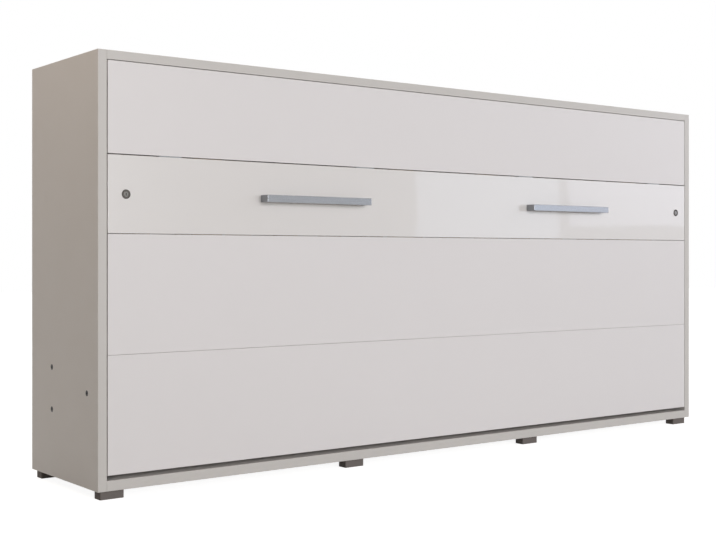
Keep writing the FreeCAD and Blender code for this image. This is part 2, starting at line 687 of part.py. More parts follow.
# ---------------------------------------------------------------- pivots, brackets and stops
def cabinet_bracket():
    """Right bracket let into the side panel, with the pivot boss welded on."""
    plate = bracket_outline(INNER_X, BRACKET_OUTER_X)
    boss = rod_x(BUSH_FACE_X + BOSS_AXIAL_GAP, INNER_X, PIVOT_Y, PIVOT_Z, PIVOT_BOSS_RADIUS)
    holes = [rod_x(BUSH_FACE_X - PAST, BRACKET_OUTER_X + PAST, PIVOT_Y, PIVOT_Z,
                   PIVOT_RADIUS + SCREW_CLEARANCE)]
    for y, z in side_bolt_spots():
        holes.append(rod_x(INNER_X - PAST, BRACKET_OUTER_X + PAST, y, z, BOLT_RADIUS + SCREW_CLEARANCE))
    holes.append(rod_x(INNER_X - PAST, BRACKET_OUTER_X + PAST, STOP_Y, STOP_Z,
                       STOP_PIN_RADIUS + SCREW_CLEARANCE))
    holes.append(rod_x(INNER_X - PAST, BRACKET_OUTER_X + PAST, ANCHOR_Y, ANCHOR_Z,
                       STRUT_NECK_RADIUS + SCREW_CLEARANCE))
    return cut_all(plate.fuse(boss).removeSplitter(), holes)


def bolt_with_head(y, z, radius, end_x):
    """A side bolt from the outside, its socket head just under the side's face."""
    face = HALF_WIDTH - BOLT_HEAD_SINK
    seat = face - BOLT_HEAD_THICKNESS
    bolt = rod_x(seat, face, y, z, BOLT_HEAD_RADIUS).fuse(rod_x(end_x, seat, y, z, radius))
    socket = hexagon(V(face - BOLT_SOCKET_DEPTH, y, z), RIGHT, BOLT_SOCKET_RADIUS, BOLT_HEAD_THICKNESS)
    return bolt.cut(socket).removeSplitter()


def nut(x0, y, z, height, radius, bore):
    """A hexagonal nut along X."""
    return hexagon(V(x0, y, z), RIGHT, radius, height).cut(rod_x(x0 - PAST, x0 + height + PAST, y, z, bore))


def pivot_bolt():
    """Right pivot bolt with its washer and nut, as separate solids."""
    washer_x = END_OUTER - BUSH_INSIDE - BOSS_AXIAL_GAP - PIVOT_WASHER_THICKNESS
    nut_x = washer_x - PIVOT_NUT_THICKNESS
    bore = PIVOT_RADIUS + RUNNING_CLEARANCE
    washer = rod_x(washer_x, washer_x + PIVOT_WASHER_THICKNESS, PIVOT_Y, PIVOT_Z, PIVOT_WASHER_RADIUS)
    washer = washer.cut(rod_x(washer_x - PAST, washer_x + PIVOT_WASHER_THICKNESS + PAST, PIVOT_Y, PIVOT_Z,
                              bore))
    return [bolt_with_head(PIVOT_Y, PIVOT_Z, PIVOT_RADIUS, nut_x - BOLT_END), washer,
            nut(nut_x, PIVOT_Y, PIVOT_Z, PIVOT_NUT_THICKNESS, PIVOT_NUT_RADIUS, bore)]


def bracket_bolts():
    """The two right side bolts behind the pivot, each with its nut."""
    made = []
    nut_x = INNER_X - BOLT_NUT_THICKNESS
    for y, z in side_bolt_spots():
        made.append(bolt_with_head(y, z, BOLT_RADIUS, nut_x - BOLT_END))
        made.append(nut(nut_x, y, z, BOLT_NUT_THICKNESS, BOLT_NUT_RADIUS, BOLT_RADIUS + RUNNING_CLEARANCE))
    return made


def pivot_bush():
    """Flanged bush in the right bed bracket."""
    sleeve = rod_x(END_OUTER - BUSH_INSIDE, BED_BRACKET_X, PIVOT_Y, PIVOT_Z, BUSH_RADIUS)
    flange = rod_x(BED_BRACKET_X, BUSH_FACE_X, PIVOT_Y, PIVOT_Z, BUSH_FLANGE_RADIUS)
    bore = rod_x(END_INNER, INNER_X, PIVOT_Y, PIVOT_Z, PIVOT_RADIUS + RUNNING_CLEARANCE)
    return sleeve.fuse(flange).cut(bore)


def bed_bracket():
    """Right bracket on the end board, carrying the bush and the strut's lower stud."""
    corner = BED_BRACKET_CORNER_RADIUS
    pivot = (PIVOT_Y, PIVOT_Z, BRACKET_PIVOT_RADIUS)
    stud = (STUD_Y, STUD_Z, corner)
    top = (PIVOT_Y + BED_BRACKET_LEAN, PIVOT_Z + BED_BRACKET_TOP, corner)
    plate = hull_plate(END_OUTER, BED_BRACKET_X, [stud, pivot, top, pivot])
    holes = [rod_x(END_OUTER - PAST, BED_BRACKET_X + PAST, PIVOT_Y, PIVOT_Z, BUSH_RADIUS + RUNNING_CLEARANCE),
             rod_x(END_OUTER - PAST, BED_BRACKET_X + PAST, STUD_Y, STUD_Z, STRUT_EYE_BORE + SCREW_CLEARANCE)]
    holes += screw_holes(bed_bracket_screw_spots(), LEFT, BRACKET_SCREW_LENGTH)
    return cut_all(plate, holes)


def strut_upper_stud():
    """Right upper stud on the cabinet bracket, with its retaining ring."""
    eye_outer = STRUT_X + STRUT_EYE_THICKNESS / 2
    eye_inner = STRUT_X - STRUT_EYE_THICKNESS / 2
    ring_x = eye_inner - BOSS_AXIAL_GAP - STRUT_RING_THICKNESS
    neck = rod_x(eye_outer + BOSS_AXIAL_GAP, BRACKET_OUTER_X, ANCHOR_Y, ANCHOR_Z, STRUT_NECK_RADIUS)
    pin = rod_x(ring_x - STRUT_PIN_END, BRACKET_OUTER_X, ANCHOR_Y, ANCHOR_Z, STRUT_EYE_BORE)
    ring = rod_x(ring_x, ring_x + STRUT_RING_THICKNESS, ANCHOR_Y, ANCHOR_Z, STRUT_RING_RADIUS)
    ring = ring.cut(rod_x(ring_x - PAST, eye_inner, ANCHOR_Y, ANCHOR_Z, STRUT_EYE_BORE + RUNNING_CLEARANCE))
    return [neck.fuse(pin).removeSplitter(), ring]


def strut_lower_stud():
    """Right lower stud on the bed bracket, ending just short of the rod's eye."""
    eye_inner = STRUT_X - STRUT_EYE_THICKNESS / 2
    collar = rod_x(BED_BRACKET_X, eye_inner - STRUT_OPEN_GAP, STUD_Y, STUD_Z, STRUT_NECK_RADIUS)
    return collar.fuse(rod_x(END_OUTER, BED_BRACKET_X, STUD_Y, STUD_Z, STRUT_EYE_BORE)).removeSplitter()


def strut_place(shape):
    """Carry a piece drawn downwards from the origin onto the right strut's line."""
    lean = math.degrees(math.atan2(ANCHOR_Y - STUD_Y, ANCHOR_Z - STUD_Z))
    turned = shape.copy()
    turned.rotate(V(0, 0, 0), V(1, 0, 0), -lean)
    turned.translate(V(STRUT_X, ANCHOR_Y, ANCHOR_Z))
    return turned


def strut_eye(z):
    """The flat eye at one end of a strut, drawn at the given height."""
    half = STRUT_EYE_THICKNESS / 2
    return rod_x(-half, half, 0, z, STRUT_EYE_RADIUS)


def strut_eye_bore(z):
    """The hole through that eye."""
    return rod_x(-STRUT_EYE_THICKNESS, STRUT_EYE_THICKNESS, 0, z, STRUT_EYE_BORE + RUNNING_CLEARANCE)


def strut_tube():
    """Right strut's tube: eye, fitting, hollow cylinder and rod guide."""
    top = -STRUT_FITTING
    bottom = top - STRUT_TUBE_LENGTH
    inner = STRUT_TUBE_RADIUS - STRUT_TUBE_WALL
    fitting = rod_z(0, 0, top, 0, STRUT_NECK_RADIUS)
    shell = rod_z(0, 0, bottom, top, STRUT_TUBE_RADIUS)
    shell = eased(shell, EDGE_RADIUS, lambda c: True)
    bore = rod_z(0, 0, bottom + STRUT_GUIDE, top - STRUT_TUBE_CAP, inner)
    guide_bore = rod_z(0, 0, bottom - PAST, bottom + STRUT_GUIDE + PAST, STRUT_ROD_RADIUS + RUNNING_CLEARANCE)
    tube = strut_eye(0).fuse([fitting, shell]).removeSplitter()
    return strut_place(cut_all(tube, [bore, guide_bore, strut_eye_bore(0)]))


def strut_rod():
    """Right strut's rod: piston, rod, fitting and eye."""
    end = -STRUT_LENGTH
    piston_low = -STRUT_FITTING - STRUT_TUBE_LENGTH + STRUT_GUIDE + STRUT_PISTON_GAP
    piston = rod_z(0, 0, piston_low, piston_low + STRUT_PISTON_LENGTH,
                   STRUT_TUBE_RADIUS - STRUT_TUBE_WALL - RUNNING_CLEARANCE)
    rod = rod_z(0, 0, end, piston_low, STRUT_ROD_RADIUS)
    fitting = rod_z(0, 0, end, end + STRUT_FITTING, STRUT_NECK_RADIUS)
    joined = strut_eye(end).fuse([piston, rod, fitting]).removeSplitter()
    return strut_place(joined.cut(strut_eye_bore(end)))


def stop_pin():
    """Right stop pin, riveted in the cabinet bracket."""
    pin = rod_x(END_INNER + STOP_END_GAP, BRACKET_OUTER_X, STOP_Y, STOP_Z, STOP_PIN_RADIUS)
    head = rod_x(BRACKET_OUTER_X, BRACKET_OUTER_X + STOP_PIN_HEAD, STOP_Y, STOP_Z, STOP_PIN_HEAD_RADIUS)
    return pin.fuse(head).removeSplitter()


def stop_sleeve():
    """Rubber sleeve on the right stop pin, where the end board's edge meets it."""
    start = END_INNER + STOP_END_GAP
    sleeve = rod_x(start, start + STOP_SLEEVE_LENGTH, STOP_Y, STOP_Z, STOP_SLEEVE_RADIUS)
    return sleeve.cut(rod_x(start - PAST, start + STOP_SLEEVE_LENGTH + PAST, STOP_Y, STOP_Z,
                            STOP_PIN_RADIUS + RUNNING_CLEARANCE))


# ---------------------------------------------------------------- bed
def front_board(z0, z1):
    """A fixed front board, pre-drilled from behind for the batten screws."""
    board = front_eased(box(-FRONT_X, FRONT_X, FRONT_Y, FRONT_BACK, z0, z1))
    spots = [spot for spot in batten_screw_spots() if z0 < spot.z < z1]
    return cut_all(board, screw_holes(spots, FRONT, BATTEN_SCREW_LENGTH))


def upper_board():
    """Upper front board, drilled in its lower edge for the hinge screws."""
    board = front_board(UPPER_BOTTOM, FRONT_TOP)
    return cut_all(board, hinge_screws(1, SCREW_CLEARANCE / 2))


def frame_rail(z0, outer, direction):
    """A long rail of the bed frame, drilled for the end, batten and ledger screws."""
    rail = box(-END_INNER, END_INNER, FRONT_BACK, FRAME_REAR, z0, z0 + FRAME_THICKNESS)
    ends = screw_holes(rail_end_spots(), LEFT, FRAME_SCREW_LENGTH)
    ends += [mirrored(hole) for hole in ends]
    battens = screw_holes(batten_end_spots(outer), direction, FRAME_SCREW_LENGTH)
    inner = z0 + FRAME_THICKNESS if direction.z > 0 else z0
    spots = ledger_screw_spots(inner + direction.z * LEDGER_SIZE)
    return cut_all(rail, ends + battens + screw_holes(spots, -direction, LEDGER_SCREW_LENGTH))


def ledger(inner, direction):
    """A strip along one rail that carries the slats' ends."""
    low, high = sorted((inner, inner + direction.z * LEDGER_SIZE))
    strip = box(-END_INNER, END_INNER, LEDGER_FRONT, SLAT_FRONT, low, high)
    holes = screw_holes(slat_screw_spots(), FRONT, SLAT_SCREW_LENGTH)
    spots = ledger_screw_spots(inner + direction.z * LEDGER_SIZE)
    return cut_all(strip, holes + screw_holes(spots, -direction, LEDGER_SCREW_LENGTH))


def end_board():
    """Right end board, notched behind the leg for the lock and pocketed for the pivot nut."""
    board = box(END_INNER, END_OUTER, FRONT_BACK, FRAME_REAR, FRONT_BOTTOM, FAR_OUTER)
    notch = box(END_INNER - PAST, END_OUTER + PAST, FRONT_BACK - PAST, FRONT_BACK + NOTCH_DEPTH,
                MIDDLE_TOP - NOTCH_MARGIN, UPPER_BOTTOM + NOTCH_MARGIN)
    pocket = rod_x(END_INNER - PAST, END_OUTER + PAST, PIVOT_Y, PIVOT_Z, NUT_POCKET_RADIUS)
    cuts = [notch, pocket] + screw_holes(rail_end_spots(), LEFT, FRAME_SCREW_LENGTH)
    cuts += screw_holes(bed_bracket_screw_spots(), LEFT, BRACKET_SCREW_LENGTH)
    return cut_all(board, cuts)


def cross_battens():
    """Battens across the front boards, which also stop the folded leg."""
    made = []
    holes = screw_holes(batten_screw_spots(), FRONT, BATTEN_SCREW_LENGTH)
    holes += screw_holes(batten_end_spots(FRONT_BOTTOM), UP, FRAME_SCREW_LENGTH)
    holes += screw_holes(batten_end_spots(FAR_OUTER), DOWN, FRAME_SCREW_LENGTH)
    for x in batten_centres():
        batten = box(x - BATTEN_WIDTH / 2, x + BATTEN_WIDTH / 2, FRONT_BACK, BATTEN_REAR, NEAR_INNER,
                     FAR_INNER)
        made.append(cut_all(batten, holes))
    return made


def slats():
    """Flat slats across the bed, screwed to the ledgers."""
    holes = screw_holes(slat_screw_spots(), FRONT, SLAT_SCREW_LENGTH)
    made = []
    for x in slat_centres():
        slat = box(x - SLAT_WIDTH / 2, x + SLAT_WIDTH / 2, SLAT_FRONT, SEAT_Y, NEAR_INNER + SLAT_END_GAP,
                   FAR_INNER - SLAT_END_GAP)
        slat = eased(slat, 2 * EDGE_RADIUS, lambda c: abs(c.z - (NEAR_INNER + FAR_INNER) / 2) < TINY)
        made.append(cut_all(slat, [hole for hole in holes if abs(hole.BoundBox.Center.x - x) < TINY]))
    return made


def bed_screws():
    """All the wood screws of the bed frame, its front boards and its brackets."""
    made = screws(slat_screw_spots(), FRONT, SLAT_SCREW_LENGTH)
    made += screws(batten_screw_spots(), FRONT, BATTEN_SCREW_LENGTH)
    made += screws(batten_end_spots(FRONT_BOTTOM), UP, FRAME_SCREW_LENGTH)
    made += screws(batten_end_spots(FAR_OUTER), DOWN, FRAME_SCREW_LENGTH)
    made += screws(ledger_screw_spots(NEAR_INNER + LEDGER_SIZE), DOWN, LEDGER_SCREW_LENGTH)
    made += screws(ledger_screw_spots(FAR_INNER - LEDGER_SIZE), UP, LEDGER_SCREW_LENGTH)
    ends = screws(rail_end_spots(), LEFT, FRAME_SCREW_LENGTH)
    ends += screws(bed_bracket_screw_spots(), LEFT, BRACKET_SCREW_LENGTH)
    return made + ends + [mirrored(one) for one in ends] + hinge_screws(1)


def mattress_block(half_length, grow=0.0):
    """Mattress form: flat under, crowned on top, sides drawn in, long edges rounded."""
    z0 = NEAR_INNER + MATTRESS_CLEARANCE - grow
    z1 = FAR_INNER - MATTRESS_CLEARANCE + grow
    top = MATTRESS_REAR + grow
    middle_y = (SEAT_Y + top) / 2
    middle_z = (z0 + z1) / 2
    x = -half_length
    low_near = V(x, SEAT_Y, z0)
    low_far = V(x, SEAT_Y, z1)
    high_far = V(x, top - MATTRESS_CROWN, z1)
    high_near = V(x, top - MATTRESS_CROWN, z0)
    edges = [Part.LineSegment(low_near, low_far).toShape(),
             Part.Arc(low_far, V(x, middle_y, z1 - MATTRESS_SIDE_DRAW), high_far).toShape(),
             Part.Arc(high_far, V(x, top, middle_z), high_near).toShape(),
             Part.Arc(high_near, V(x, middle_y, z0 + MATTRESS_SIDE_DRAW), low_near).toShape()]
    block = Part.Face(Part.Wire(edges)).extrude(V(2 * half_length, 0, 0))
    return eased(block, MATTRESS_EDGE_RADIUS + grow, lambda c: abs(c.x) < TINY and c.y > middle_y
                 and min(abs(c.z - z0), abs(c.z - z1)) < TINY)


def mattress():
    """The mattress, with its end faces drawn in between rounded edges."""
    half = MATTRESS_LENGTH / 2
    block = mattress_block(half)
    low = SEAT_Y - PAST
    high = MATTRESS_REAR + PAST
    middle_y = (SEAT_Y + MATTRESS_REAR) / 2
    z = NEAR_INNER - PAST
    corners = [V(-half, low, z), V(half, low, z), V(half, high, z), V(-half, high, z)]
    edges = [Part.LineSegment(corners[0], corners[1]).toShape(),
             Part.Arc(corners[1], V(half - MATTRESS_SIDE_DRAW, middle_y, z), corners[2]).toShape(),
             Part.LineSegment(corners[2], corners[3]).toShape(),
             Part.Arc(corners[3], V(MATTRESS_SIDE_DRAW - half, middle_y, z), corners[0]).toShape()]
    ends = Part.Face(Part.Wire(edges)).extrude(V(0, 0, FAR_INNER - NEAR_INNER + 2 * PAST))
    return block.common(ends)


def mattress_straps():
    """Two webbing straps over the mattress, their ends tucked down inside the rails."""
    made = []
    end_y = (SEAT_Y + FRAME_REAR) / 2
    for x in (-STRAP_X, STRAP_X):
        outer = mattress_block(STRAP_WIDTH / 2, STRAP_GAP + STRAP_THICKNESS)
        inner = mattress_block(STRAP_WIDTH, STRAP_GAP)
        strap = outer.cut(inner)
        strap = strap.cut(box(-STRAP_WIDTH, STRAP_WIDTH, SEAT_Y - PAST, end_y, NEAR_INNER - PAST,
                              FAR_INNER + PAST))
        strap.translate(V(x, 0, 0))
        made.append(strap)
    return made


# ---------------------------------------------------------------- leg hinges
def knuckle_spans(x):
    """X spans of one hinge's knuckles, in order."""
    pitch = HINGE_LENGTH / HINGE_KNUCKLES
    start = x - HINGE_LENGTH / 2
    gap = HINGE_KNUCKLE_GAP / 2
    return [(start + i * pitch + gap, start + (i + 1) * pitch - gap) for i in range(HINGE_KNUCKLES)]


def hinge_centres():
    """X of each leg hinge's middle."""
    return [side * x for x in HINGE_X for side in (-1, 1)]


def hinge_screw_spots(side):
    """Start of the screws through each leaf; side is 1 for the fixed leaf, -1 for the moving one."""
    z = LEG_HINGE_Z + side * (LEG_HINGE_GAP / 2 - HINGE_LEAF)
    y = LEG_HINGE_Y + HINGE_KNUCKLE_RADIUS + HINGE_LEAF_DEPTH / 2
    return [V(x + step * HINGE_LENGTH / 3, y, z) for x in hinge_centres() for step in (-1, 0, 1)]


def hinge_screws(side, grow=0.0):
    """Small countersunk screws of the fixed or the moving leaves."""
    direction = UP if side > 0 else DOWN
    return [screw(spot, direction, HINGE_SCREW_LENGTH, HINGE_SCREW_RADIUS, HINGE_SCREW_HEAD_RADIUS, grow)
            for spot in hinge_screw_spots(side)]


def hinge_leaves(side):
    """Fixed leaves under the upper board (side 1) or moving leaves on the leg (side -1)."""
    made = []
    face = LEG_HINGE_Z + side * LEG_HINGE_GAP / 2
    low, high = sorted((face, face - side * HINGE_LEAF))
    clear_y = LEG_HINGE_Y + HINGE_KNUCKLE_RADIUS + HINGE_KNUCKLE_GAP
    for x in hinge_centres():
        own = [span for i, span in enumerate(knuckle_spans(x)) if (i % 2 == 0) == (side > 0)]
        start = knuckle_spans(x)[0][0]
        end = knuckle_spans(x)[-1][1]
        leaf = box(start, end, clear_y, clear_y + HINGE_LEAF_DEPTH, low, high)
        knuckles = [rod_x(a, b, LEG_HINGE_Y, LEG_HINGE_Z, HINGE_KNUCKLE_RADIUS) for a, b in own]
        webs = [box(a, b, LEG_HINGE_Y, clear_y, low, high) for a, b in own]
        bore = rod_x(start - PAST, end + PAST, LEG_HINGE_Y, LEG_HINGE_Z, HINGE_PIN_RADIUS + RUNNING_CLEARANCE)
        joined = leaf.fuse(knuckles + webs).removeSplitter()
        made.append(cut_all(joined, [bore] + hinge_screws(side, SCREW_CLEARANCE / 2)))
    return made


def hinge_pins():
    """The pin of each leg hinge."""
    half = HINGE_LENGTH / 2
    return [rod_x(x - half, x + half, LEG_HINGE_Y, LEG_HINGE_Z, HINGE_PIN_RADIUS) for x in hinge_centres()]


# ---------------------------------------------------------------- leg, handles and locks
def leg_panel():
    """The glossy band, drilled for its handles, locks and hinge screws."""
    board = front_eased(box(-FRONT_X, FRONT_X, FRONT_Y, FRONT_BACK, LEG_BOTTOM, LEG_TOP))
    cuts = []
    for posts in handle_post_spots():
        for x in posts:
            cuts.append(rod_y(x, FRONT_Y - PAST, FRONT_BACK + PAST, BAND_MIDDLE,
                              SCREW_RADIUS + SCREW_CLEARANCE))
    for x in (-LOCK_X, LOCK_X):
        cuts.append(rod_y(x, FRONT_Y - PAST, FRONT_BACK + PAST, BAND_MIDDLE,
                          LOCK_BARREL_RADIUS + LOCK_HOLE_CLEARANCE))
    return cut_all(board, cuts + hinge_screws(-1, SCREW_CLEARANCE / 2))


def handle(centre, posts):
    """Bar handle: a flat bar on two posts, tapped from behind for its screws."""
    half = HANDLE_LENGTH / 2
    low = BAND_MIDDLE - HANDLE_HEIGHT / 2
    high = BAND_MIDDLE + HANDLE_HEIGHT / 2
    bar_front = FRONT_Y - HANDLE_PROJECTION
    block = box(centre - half, centre + half, bar_front, FRONT_Y, low, high)
    gap = box(centre - half + HANDLE_POST, centre + half - HANDLE_POST, bar_front + HANDLE_BAR,
              FRONT_Y + PAST, low - PAST, high + PAST)
    shape = eased(block.cut(gap), HANDLE_EDGE_RADIUS, lambda c: c.y < FRONT_Y - TINY)
    taps = [rod_y(x, FRONT_Y - HANDLE_SCREW_ENGAGEMENT - PAST, FRONT_Y + PAST, BAND_MIDDLE,
                  SCREW_RADIUS + RUNNING_CLEARANCE) for x in posts]
    return cut_all(shape, taps)


def leg_screws():
    """Handle screws from the leg's rear, and the moving leaves' screws."""
    made = []
    for posts in handle_post_spots():
        for x in posts:
            shank = rod_y(x, FRONT_Y - HANDLE_SCREW_ENGAGEMENT, FRONT_BACK, BAND_MIDDLE, SCREW_RADIUS)
            head = rod_y(x, FRONT_BACK, FRONT_BACK + PAN_HEAD_HEIGHT, BAND_MIDDLE, SCREW_HEAD_RADIUS)
            made.append(shank.fuse(head).removeSplitter())
    return made + hinge_screws(-1)


def lock_housing(x):
    """Lock barrel with its bezel, and the nut that clamps it from behind."""
    bezel = rod_y(x, FRONT_Y - LOCK_BEZEL_PROUD, FRONT_Y, BAND_MIDDLE, LOCK_BEZEL_RADIUS)
    bezel = eased(bezel, LOCK_BEZEL_PROUD / 2, lambda c: c.y < FRONT_Y - LOCK_BEZEL_PROUD + TINY)
    barrel = rod_y(x, FRONT_Y, CAM_FRONT - LOCK_CAM_AIR, BAND_MIDDLE, LOCK_BARREL_RADIUS)
    bore = rod_y(x, FRONT_Y - LOCK_BEZEL_PROUD - PAST, CAM_REAR, BAND_MIDDLE,
                 LOCK_CYLINDER_RADIUS + RUNNING_CLEARANCE)
    housing = bezel.fuse(barrel).cut(bore)
    ring = hexagon(V(x, FRONT_BACK, BAND_MIDDLE), REAR, LOCK_NUT_RADIUS, LOCK_NUT_THICKNESS)
    ring = ring.cut(rod_y(x, FRONT_BACK - PAST, CAM_REAR, BAND_MIDDLE,
                          LOCK_BARREL_RADIUS + RUNNING_CLEARANCE))
    return [housing, ring]


def lock_cylinder(x):
    """Turning cylinder with its keyway, necked at the rear for the cam, and the cam's nut."""
    face = FRONT_Y - LOCK_BEZEL_PROUD / 2
    body = rod_y(x, face, CAM_FRONT, BAND_MIDDLE, LOCK_CYLINDER_RADIUS)
    neck = rod_y(x, CAM_FRONT, CAM_REAR + LOCK_CAM_NUT, BAND_MIDDLE, LOCK_NECK_RADIUS)
    keyway = box(x - KEYWAY_WIDTH / 2, x + KEYWAY_WIDTH / 2, face - PAST, face + KEYWAY_DEPTH,
                 BAND_MIDDLE - KEYWAY_HEIGHT / 2, BAND_MIDDLE + KEYWAY_HEIGHT / 2)
    cam_nut = hexagon(V(x, CAM_REAR, BAND_MIDDLE), REAR, LOCK_CAM_NUT_RADIUS, LOCK_CAM_NUT)
    cam_nut = cam_nut.cut(rod_y(x, CAM_FRONT, CAM_REAR + 2 * LOCK_CAM_NUT, BAND_MIDDLE,
                                LOCK_NECK_RADIUS + RUNNING_CLEARANCE))
    return [body.fuse(neck).cut(keyway), cam_nut]


def lock_cam(x):
    """Steel tongue on the cylinder's neck, hanging down when the lock is open."""
    half = LOCK_CAM_WIDTH / 2
    hub = rod_y(x, CAM_FRONT, CAM_REAR, BAND_MIDDLE, LOCK_CAM_HUB_RADIUS)
    tongue = box(x - half, x + half, CAM_FRONT, CAM_REAR, BAND_MIDDLE - LOCK_CAM_REACH + half, BAND_MIDDLE)
    tip = rod_y(x, CAM_FRONT, CAM_REAR, BAND_MIDDLE - LOCK_CAM_REACH + half, half)
    bore = rod_y(x, CAM_FRONT - PAST, CAM_REAR + PAST, BAND_MIDDLE, LOCK_NECK_RADIUS + RUNNING_CLEARANCE)
    return hub.fuse([tongue, tip]).removeSplitter().cut(bore)


# ---------------------------------------------------------------- the whole bed
def build_carcass():
    """Panels, back, rails, feet and their fittings."""
    side = side_panel()
    save("side_panel_right", [side])
    save("side_panel_left", [mirrored(side)])
    save("bottom_panel", [bottom_panel()])
    save("top_panel", [flat_panel(ROOF, BODY_TOP, ROOF - PAST, ROOF + BACK_GROOVE)])
    back = back_panel()
    save("back_panel_right", [back])
    save("back_panel_left", [mirrored(back)])
    save("back_joint_profile", [back_joint_profile()])
    save("rear_rail_lower", [rear_rail(FLOOR_TOP, FLOOR_TOP + REAR_RAIL_HEIGHT)])
    save("rear_rail_upper", [rear_rail(ROOF - REAR_RAIL_HEIGHT, ROOF)])
    save("wall_plates", wall_plates())
    front, rear = foot_centres()
    save("front_feet", [foot(x, y) for x, y in front])
    save("rear_feet", [foot(x, y) for x, y in rear])
    save("foot_screws", foot_screws())
    fittings = []
    dowels = []
    for z0, z1 in ((BODY_BOTTOM, FLOOR_TOP), (ROOF, BODY_TOP)):
        cams, pegs = corner_joint((z0 + z1) / 2, z0)
        fittings += cams
        dowels += pegs
    save("corner_fittings", [copy for one in fittings for copy in both(one)])
    save("corner_dowels", [copy for one in dowels for copy in both(one)])


def build_fittings():
    """Brackets, pivots, struts, stops and strikes on the cabinet."""
    bracket = cabinet_bracket()
    save("cabinet_bracket_right", [bracket])
    save("cabinet_bracket_left", [mirrored(bracket)])
    save("pivot_bolts", [copy for one in pivot_bolt() for copy in both(one)])
    save("bracket_bolts", [copy for one in bracket_bolts() for copy in both(one)])
    save("strut_upper_studs", [copy for one in strut_upper_stud() for copy in both(one)])
    save("stop_pins", both(stop_pin()))
    save("stop_sleeves", both(stop_sleeve()))
    save("closed_stops", both(closed_stop()))
    save("lock_strikes", both(strike()))
    holding = screws(strike_screw_spots(), RIGHT, STRIKE_SCREW_LENGTH)
    holding += screws(closed_stop_screw_spots(), RIGHT, STOP_SCREW_LENGTH)
    save("cabinet_screws", [copy for one in holding for copy in both(one)])
    tube = strut_tube()
    rod = strut_rod()
    save("strut_tube_right", [tube])
    save("strut_tube_left", [mirrored(tube)])
    save("strut_rod_right", [rod])
    save("strut_rod_left", [mirrored(rod)])


def build_bed():
    """Front boards, frame, slats, mattress and the bed's own fittings."""
    save("front_board_lower", [front_board(FRONT_BOTTOM, LOWER_TOP)])
    save("front_board_middle", [front_board(MIDDLE_BOTTOM, MIDDLE_TOP)])
    save("front_board_upper", [upper_board()])
    save("bed_rail_near", [frame_rail(FRONT_BOTTOM, FRONT_BOTTOM, UP)])
    save("bed_rail_far", [frame_rail(FAR_INNER, FAR_OUTER, DOWN)])
    end = end_board()
    save("bed_end_right", [end])
    save("bed_end_left", [mirrored(end)])
    save("cross_battens", cross_battens())
    save("slat_ledgers", [ledger(NEAR_INNER, UP), ledger(FAR_INNER, DOWN)])
    save("slats", slats())
    save("bed_screws", bed_screws())
    bracket = bed_bracket()
    save("bed_bracket_right", [bracket])
    save("bed_bracket_left", [mirrored(bracket)])
    save("pivot_bushes", both(pivot_bush()))
    save("strut_lower_studs", both(strut_lower_stud()))
    save("hinge_leaves_fixed", hinge_leaves(1))
    save("hinge_pins", hinge_pins())
    save("mattress", [mattress()])
    save("mattress_straps", mattress_straps())


def build_leg():
    """The fold-out leg with its handles and locks."""
    save("leg_panel", [leg_panel()])
    save("hinge_leaves_moving", hinge_leaves(-1))
    posts_left, posts_right = handle_post_spots()
    save("handle_left", [handle(-HANDLE_CENTRE_X, posts_left)])
    save("handle_right", [handle(HANDLE_CENTRE_X, posts_right)])
    save("leg_screws", leg_screws())
    save("lock_housings", lock_housing(-LOCK_X) + lock_housing(LOCK_X))
    save("lock_cylinder_left", lock_cylinder(-LOCK_X))
    save("lock_cylinder_right", lock_cylinder(LOCK_X))
    save("lock_cam_left", [lock_cam(-LOCK_X)])
    save("lock_cam_right", [lock_cam(LOCK_X)])


def main():
    """Write every sub-part."""
    os.makedirs("parts", exist_ok=True)
    build_carcass()
    build_fittings()
    build_bed()
    build_leg()


if __name__ == "__main__":
    main()
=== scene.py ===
"""Cabinet bed: finishes, mattress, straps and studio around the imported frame.

Lengths are metres, and a number times MM is millimetres. +X runs along the cabinet,
the front looks along -Y and +Z is up.
"""
from __future__ import annotations

import logging
import math
from dataclasses import dataclass, field
from enum import Enum
from typing import Any, Iterable, Sequence

import bmesh
import bpy
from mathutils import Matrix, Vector


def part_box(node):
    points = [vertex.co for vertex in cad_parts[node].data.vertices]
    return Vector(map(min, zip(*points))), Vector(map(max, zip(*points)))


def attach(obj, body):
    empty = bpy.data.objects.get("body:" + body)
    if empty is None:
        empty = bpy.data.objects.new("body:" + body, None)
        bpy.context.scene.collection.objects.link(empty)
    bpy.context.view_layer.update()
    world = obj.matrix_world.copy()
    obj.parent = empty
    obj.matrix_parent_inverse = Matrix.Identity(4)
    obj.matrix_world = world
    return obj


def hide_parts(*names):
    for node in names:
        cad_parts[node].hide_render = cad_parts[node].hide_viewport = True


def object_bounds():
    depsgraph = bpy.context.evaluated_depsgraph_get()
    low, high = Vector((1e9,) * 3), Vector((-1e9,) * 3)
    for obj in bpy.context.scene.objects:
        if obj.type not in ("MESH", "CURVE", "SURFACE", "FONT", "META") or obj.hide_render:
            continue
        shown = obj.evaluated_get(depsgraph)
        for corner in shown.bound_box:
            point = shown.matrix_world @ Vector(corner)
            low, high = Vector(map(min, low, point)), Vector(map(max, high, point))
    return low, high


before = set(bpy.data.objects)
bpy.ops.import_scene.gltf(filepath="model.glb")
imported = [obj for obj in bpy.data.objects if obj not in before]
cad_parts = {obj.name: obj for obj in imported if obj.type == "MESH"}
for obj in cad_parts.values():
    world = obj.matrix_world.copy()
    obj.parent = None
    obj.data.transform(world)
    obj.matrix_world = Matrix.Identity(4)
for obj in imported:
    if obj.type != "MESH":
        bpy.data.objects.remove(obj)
CAD_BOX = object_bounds()

